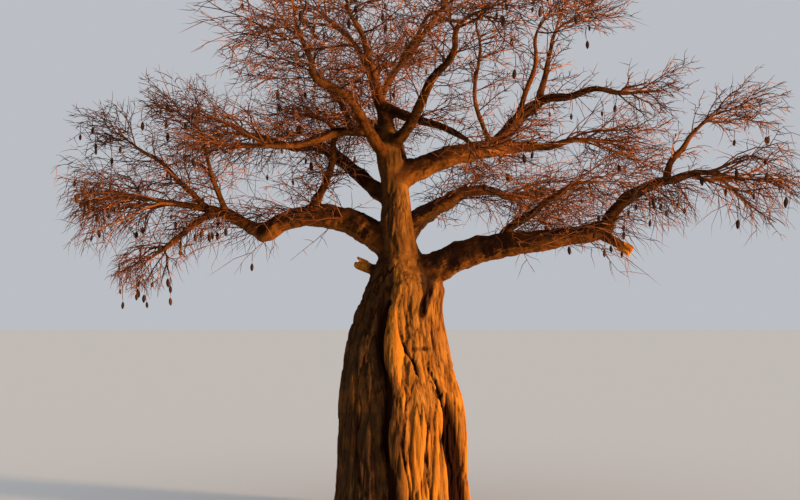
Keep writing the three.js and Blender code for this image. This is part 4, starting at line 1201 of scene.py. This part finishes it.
TWIG_RINGS = {1: (0, 0.2, 0.4, 0.6, 0.8, 0.97, 1), 2: (0, 0.25, 0.5, 0.75, 0.97, 1), 3: (0, 0.35, 0.7, 1)}
BLUNT = 0.7  # how much thinner a twig is near its tip
FULLER = {1: 1.1, 2: 1.3, 3: 1.4}  # how much stouter it is drawn than the rule has it, by level


def tapers(paths, girths):
    """Three-sided twigs that run to a point, along many paths of as many points each."""
    count, rings = girths.shape
    spokes = spokes_round(*across(unit(paths[:, -1] - paths[:, 0])), 3)
    walls = paths[:, :-1, None] + spokes[:, None] * girths[:, :-1, None, None]
    points = np.concatenate([walls.reshape(count, -1, 3), paths[:, -1:]], axis=1)
    faces = [(2, 1, 0)]
    for ring in range(rings - 2):
        for j in range(3):
            a, b, c, d = 3 * ring + j, 3 * ring + (j + 1) % 3, 3 * ring + 3 + (j + 1) % 3, 3 * ring + 3 + j
            faces += [(a, b, c), (a, c, d)]
    last, tip = 3 * (rings - 2), 3 * (rings - 1)
    faces += [(last + j, last + (j + 1) % 3, tip) for j in range(3)]
    faces = np.array(faces)[None] + np.arange(count)[:, None, None] * points.shape[1]
    return points.reshape(-1, 3), faces.reshape(-1, 3)


def twig_tapers(twigs):
    """Every twig of a set, as points and faces. A twig stays stout to its blunt tip."""
    along = np.array(TWIG_RINGS[twigs["level"]])
    paths = np.stack([twig_point(twigs, a, "drawn") for a in along], axis=1)
    return tapers(paths, FULLER[twigs["level"]] * twigs["girth"][:, None] * (1 - BLUNT * along)[None])


def twig_grain():
    """The fine wrinkles of a twig's bark."""
    results = dict(Roughness="Float", Height="Float")
    group, _, made = group_with("Twig grain", "ShaderNodeTree", {}, results)
    spot = node(group, "ShaderNodeTexCoord").outputs["Object"]
    wrinkles = noised(group, spot, Scale=55.0, Detail=3.0, Roughness=0.6)
    group.links.new(spread(group, wrinkles, 0.3, 0.7, 0.6, 0.9), made["Roughness"])
    group.links.new(wrinkles, made["Height"])
    return group


TWIG_GRAIN = twig_grain()


def grained(name, colour):
    """A finish of one plain colour with that grain."""
    material = finish(name, TWIG_GRAIN, bump=0.4, bump_height=0.004, specular=0.1)
    material.node_tree.nodes["Principled BSDF"].inputs["Base Color"].default_value = (*colour, 1)
    return material


TWIG_TINTS = {
    "red twig": (0.185, 0.044, 0.011),
    "copper twig": (0.340, 0.100, 0.019),
    "brown twig": (0.110, 0.033, 0.011),
    "dark twig": (0.035, 0.013, 0.007),
}
TWIG_PIECES = {
    "crown_right": ("right_far", "right_high", "right_mid", "upper_right", "up_right_out"),
    "crown_top_right": ("up_right_top", "upright", "inner_right", "top_right", "inner_front", "inner_top"),
    "crown_left": ("left_far", "left_outer", "left_inner", "left_drop", "left_riser"),
    "crown_top_left": ("upper_left", "leader_top", "inner_left", "front_left", "back_left"),
    "crown_front_back": ("back_right", "back", "front_right", "front", "back_top"),
}
twig_finishes = {name: grained(name, colour) for name, colour in TWIG_TINTS.items()}
for piece_name, masses in TWIG_PIECES.items():
    members = [list(MASSES).index(name) for name in masses]
    parts, tints = [], []
    for twigs in levels:
        own = chosen(twigs, np.isin(twigs["mass"], members))
        parts.append(twig_tapers(own))
        tint = np.floor(chance(own["seed"], DRAW["tint"]) * len(TWIG_TINTS)).astype(np.int32)
        tints.append(np.repeat(tint, len(parts[-1][1]) // max(len(tint), 1)))
    piece = mesh_object(piece_name, *joined(parts), smooth=False)
    for tinted in twig_finishes.values():
        piece.data.materials.append(tinted)
    piece.data.polygons.foreach_set("material_index", np.concatenate(tints))
    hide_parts(*[f"twigs_{name}" for name in masses])
    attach(piece, "root")


# Fruit
# Woody pods in a velvet skin, egg-shaped and a hand long, each hanging straight down on a stalk as thick as
# a pencil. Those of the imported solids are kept, and more hang among the finer twigs. Geometry Nodes sweep
# each pod along its own length and give it a size and a turn of its own.

MORE_FRUIT, MORE_FRUIT_HANGING = 0.024, 0.10  # the share of twigs that bear more, and on masses that hang
LOWEST_FRUIT = 3.2  # the least height at which they hang
STALK_SWAY, STALK_POINTS = 0.03, 5
STALK_HIDDEN = 0.1  # how far the drawn stalk reaches into the pod, as a share of its length
FIRST_PACKED_SEED = 9001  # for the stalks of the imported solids' fruit
POD_SIDES, POD_RINGS = 10, 10
POD_OUTLINE = (  # shares of its length, from the stalk down, and of its girth there
    (0.0, 0.16), (0.1, 0.5), (0.3, 0.88), (0.5, 1.0), (0.75, 0.83), (0.92, 0.45), (1.0, 0.08),
)
POD_SIZES = (0.6, 1.0)  # the smallest and largest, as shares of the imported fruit
POD_SLIMNESS = 0.84
POD_TILT = 9  # degrees
DRY_PODS = 0.35  # the share of pods that have dried out
POD_SEED = 7


def fruit_hung():
    """The top of every stalk, its length, and the seed of what else chance settles."""
    tops, drops = (np.concatenate(some) for some in zip(*fruit))
    twigs = levels[1]
    odds = np.where(twigs["hang"] >= WEEPING, MORE_FRUIT_HANGING, MORE_FRUIT)
    bearing = chosen(twigs, chance(twigs["seed"], DRAW["fruit"]) < odds)
    drop = between(*STALK, bearing["seed"], DRAW["stalk"])
    top = twig_point(bearing, FRUIT_PLACE, "drawn")
    pod = top - UP * (drop + FRUIT_LENGTH / 2)[:, None]
    clear = (np.linalg.norm(pod[:, None] - BALLS[None], axis=-1) > BALL_GIRTHS + FRUIT_LENGTH / 2).all(1)
    clear &= (pod[:, 2] > LOWEST_FRUIT) & ((top > CROWN_BOX[0]) & (top < CROWN_BOX[1])).all(1)
    found = (tops, top), (drops, drop), (np.arange(len(tops)) + FIRST_PACKED_SEED, bearing["seed"])
    return [np.concatenate([first, more[clear]]) for first, more in found]


tops, drops, seeds = fruit_hung()
along = np.linspace(0, 1, STALK_POINTS)
sways = np.stack([*(between(-1, 1, seeds, draw) for draw in DRAW["sway"]), seeds * 0], axis=-1)
lines = tops[:, None] - UP * (along * (drops + FRUIT_LENGTH * STALK_HIDDEN)[:, None])[..., None]
lines = lines + STALK_SWAY * np.sin(math.pi * along)[None, :, None] * sways[:, None]
stalks = mesh_object("fruit_stalks", *tapers(lines, np.full(lines.shape[:2], STALK_GIRTH)), smooth=False)
stalks.data.materials.append(twig_finishes["brown twig"])
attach(stalks, "root")


def pod_nodes():
    """Geometry Nodes that hang a pod below each point, and deal out sizes, turns and skins by the seed."""
    inputs = {"Geometry": "Geometry", "Length": "Float", "Girth": "Float", "Tilt": "Float", "Seed": "Int"}
    inputs |= {"Skin": "Material", "Dry Skin": "Material"}
    group, given, made = group_with("Pods", "GeometryNodeTree", inputs, {"Geometry": "Geometry"})

    down = mathed(group, "MULTIPLY", given["Length"], -1.0)
    foot = node(group, "ShaderNodeCombineXYZ", Z=down).outputs[0]
    line = node(group, "GeometryNodeCurvePrimitiveLine", End=foot).outputs["Curve"]
    rings = node(group, "GeometryNodeResampleCurve", Curve=line, Count=POD_RINGS).outputs["Curve"]
    share = node(group, "GeometryNodeSplineParameter").outputs["Factor"]
    outline = node(group, "ShaderNodeFloatCurve", Value=share)
    curve = outline.mapping.curves[0]
    for point, place in zip(curve.points, (POD_OUTLINE[0], POD_OUTLINE[-1])):
        point.location = place
    for place in POD_OUTLINE[1:-1]:
        curve.points.new(*place)
    outline.mapping.update()
    ring = node(group, "GeometryNodeCurvePrimitiveCircle", Resolution=POD_SIDES, Radius=given["Girth"])
    pod = node(
        group, "GeometryNodeCurveToMesh", Curve=rings, Profile_Curve=ring.outputs["Curve"],
        Scale=outline.outputs["Value"], Fill_Caps=True)

    smallest, largest = POD_SIZES
    size = node(
        group, "FunctionNodeRandomValue", data_type="FLOAT", Min=smallest, Max=largest, Seed=given["Seed"])
    lean = node(group, "ShaderNodeCombineXYZ", given["Tilt"], given["Tilt"], math.pi).outputs[0]
    lean_back = node(group, "ShaderNodeVectorMath", lean, (-1, -1, -1), operation="MULTIPLY").outputs[0]
    turn = node(
        group, "FunctionNodeRandomValue", data_type="FLOAT_VECTOR", Min=lean_back, Max=lean,
        Seed=given["Seed"])
    hung = node(
        group, "GeometryNodeInstanceOnPoints", Points=given["Geometry"], Instance=pod.outputs["Mesh"],
        Rotation=turn.outputs["Value"], Scale=size.outputs["Value"])
    dry = node(
        group, "FunctionNodeRandomValue", data_type="BOOLEAN", Probability=DRY_PODS, Seed=given["Seed"])
    marked = node(
        group, "GeometryNodeStoreNamedAttribute", data_type="BOOLEAN", domain="INSTANCE", Name="dry",
        Geometry=hung.outputs["Instances"], Value=dry.outputs["Value"])

    real = node(group, "GeometryNodeRealizeInstances", Geometry=marked.outputs["Geometry"])
    smooth = node(group, "GeometryNodeSetShadeSmooth", Geometry=real.outputs["Geometry"])
    skin = node(
        group, "GeometryNodeSetMaterial", Geometry=smooth.outputs["Geometry"], Material=given["Skin"])
    is_dry = node(group, "GeometryNodeInputNamedAttribute", data_type="BOOLEAN", Name="dry")
    dry_skin = node(
        group, "GeometryNodeSetMaterial", Geometry=skin.outputs["Geometry"], Material=given["Dry Skin"],
        Selection=is_dry.outputs["Attribute"])
    group.links.new(dry_skin.outputs["Geometry"], made["Geometry"])
    return group


def with_nodes(piece, group, **values):
    """Gives a piece Geometry Nodes with those inputs, and turns what they make into its plain mesh."""
    modifier = piece.modifiers.new(group.name, "NODES")
    modifier.node_group = group
    sockets = {item.name: item.identifier for item in group.interface.items_tree if item.in_out == "INPUT"}
    for name, value in values.items():
        modifier[sockets[name.replace("_", " ")]] = value
    made = plain_mesh(piece)
    piece.modifiers.clear()
    piece.data = made


pods = mesh_object("fruit_pods", tops - UP * drops[:, None], np.empty((0, 3), int))
with_nodes(
    pods, pod_nodes(), Length=FRUIT_LENGTH, Girth=FRUIT_GIRTH * POD_SLIMNESS, Tilt=math.radians(POD_TILT),
    Seed=POD_SEED, Skin=grained("pod velvet", (0.030, 0.012, 0.006)),
    Dry_Skin=grained("dry pod velvet", (0.075, 0.028, 0.010)),
)
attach(pods, "root")


# Floor, light and camera
# A plain pale floor, a warm key light low on the right in front, and a soft pale fill from all sides. The
# camera stands level with the trunk, a good way off, and looks up a little, as in the photograph.

FLOOR_HALF = 5000  # half the floor's width
FLOOR_COLOUR = (0.78, 0.76, 0.74, 1)
KEY_BEARING, KEY_RISE, KEY_SIZE = -26, 4, 9  # degrees
KEY_STRENGTH, KEY_COLOUR = 8.4, (1.0, 0.68, 0.36)
FILL_STRENGTH, FILL_COLOUR = 0.62, (0.80, 0.84, 0.90, 1)
EYE = (0.0, -24.0, 3.8)
EYE_RISE = 3.58  # degrees
LENS, SENSOR = 54, 36

floor_corners = np.array([(-1, -1, 0), (1, -1, 0), (1, 1, 0), (-1, 1, 0)]) * FLOOR_HALF
floor = mesh_object("floor", floor_corners, np.array([(0, 1, 2), (0, 2, 3)]), smooth=False)
floor_paint = bpy.data.materials.new("floor paint")
floor_paint.use_nodes = True
floor_shader = floor_paint.node_tree.nodes["Principled BSDF"]
floor_shader.inputs["Base Color"].default_value = FLOOR_COLOUR
floor_shader.inputs["Roughness"].default_value = 1.0
floor_shader.inputs["Specular IOR Level"].default_value = 0.0
floor.data.materials.append(floor_paint)

world = bpy.data.worlds.new("studio")
bpy.context.scene.world = world
world.use_nodes = True
world.node_tree.nodes["Background"].inputs["Color"].default_value = FILL_COLOUR
world.node_tree.nodes["Background"].inputs["Strength"].default_value = FILL_STRENGTH

key = bpy.data.lights.new("key", "SUN")
key.energy = KEY_STRENGTH
key.angle = math.radians(KEY_SIZE)
key.color = KEY_COLOUR
key_lamp = new_object("key", key)
key_lamp.rotation_mode = "QUATERNION"
key_lamp.rotation_quaternion = Vector(-heading(KEY_BEARING, KEY_RISE)).to_track_quat("-Z", "Y")

camera = new_object("camera", bpy.data.cameras.new("camera"))
camera.data.lens = LENS
camera.data.sensor_width = SENSOR
camera.location = EYE
camera.rotation_euler = (math.radians(90 + EYE_RISE), 0, 0)
bpy.context.scene.camera = camera
bpy.context.scene.view_settings.view_transform = "Standard"
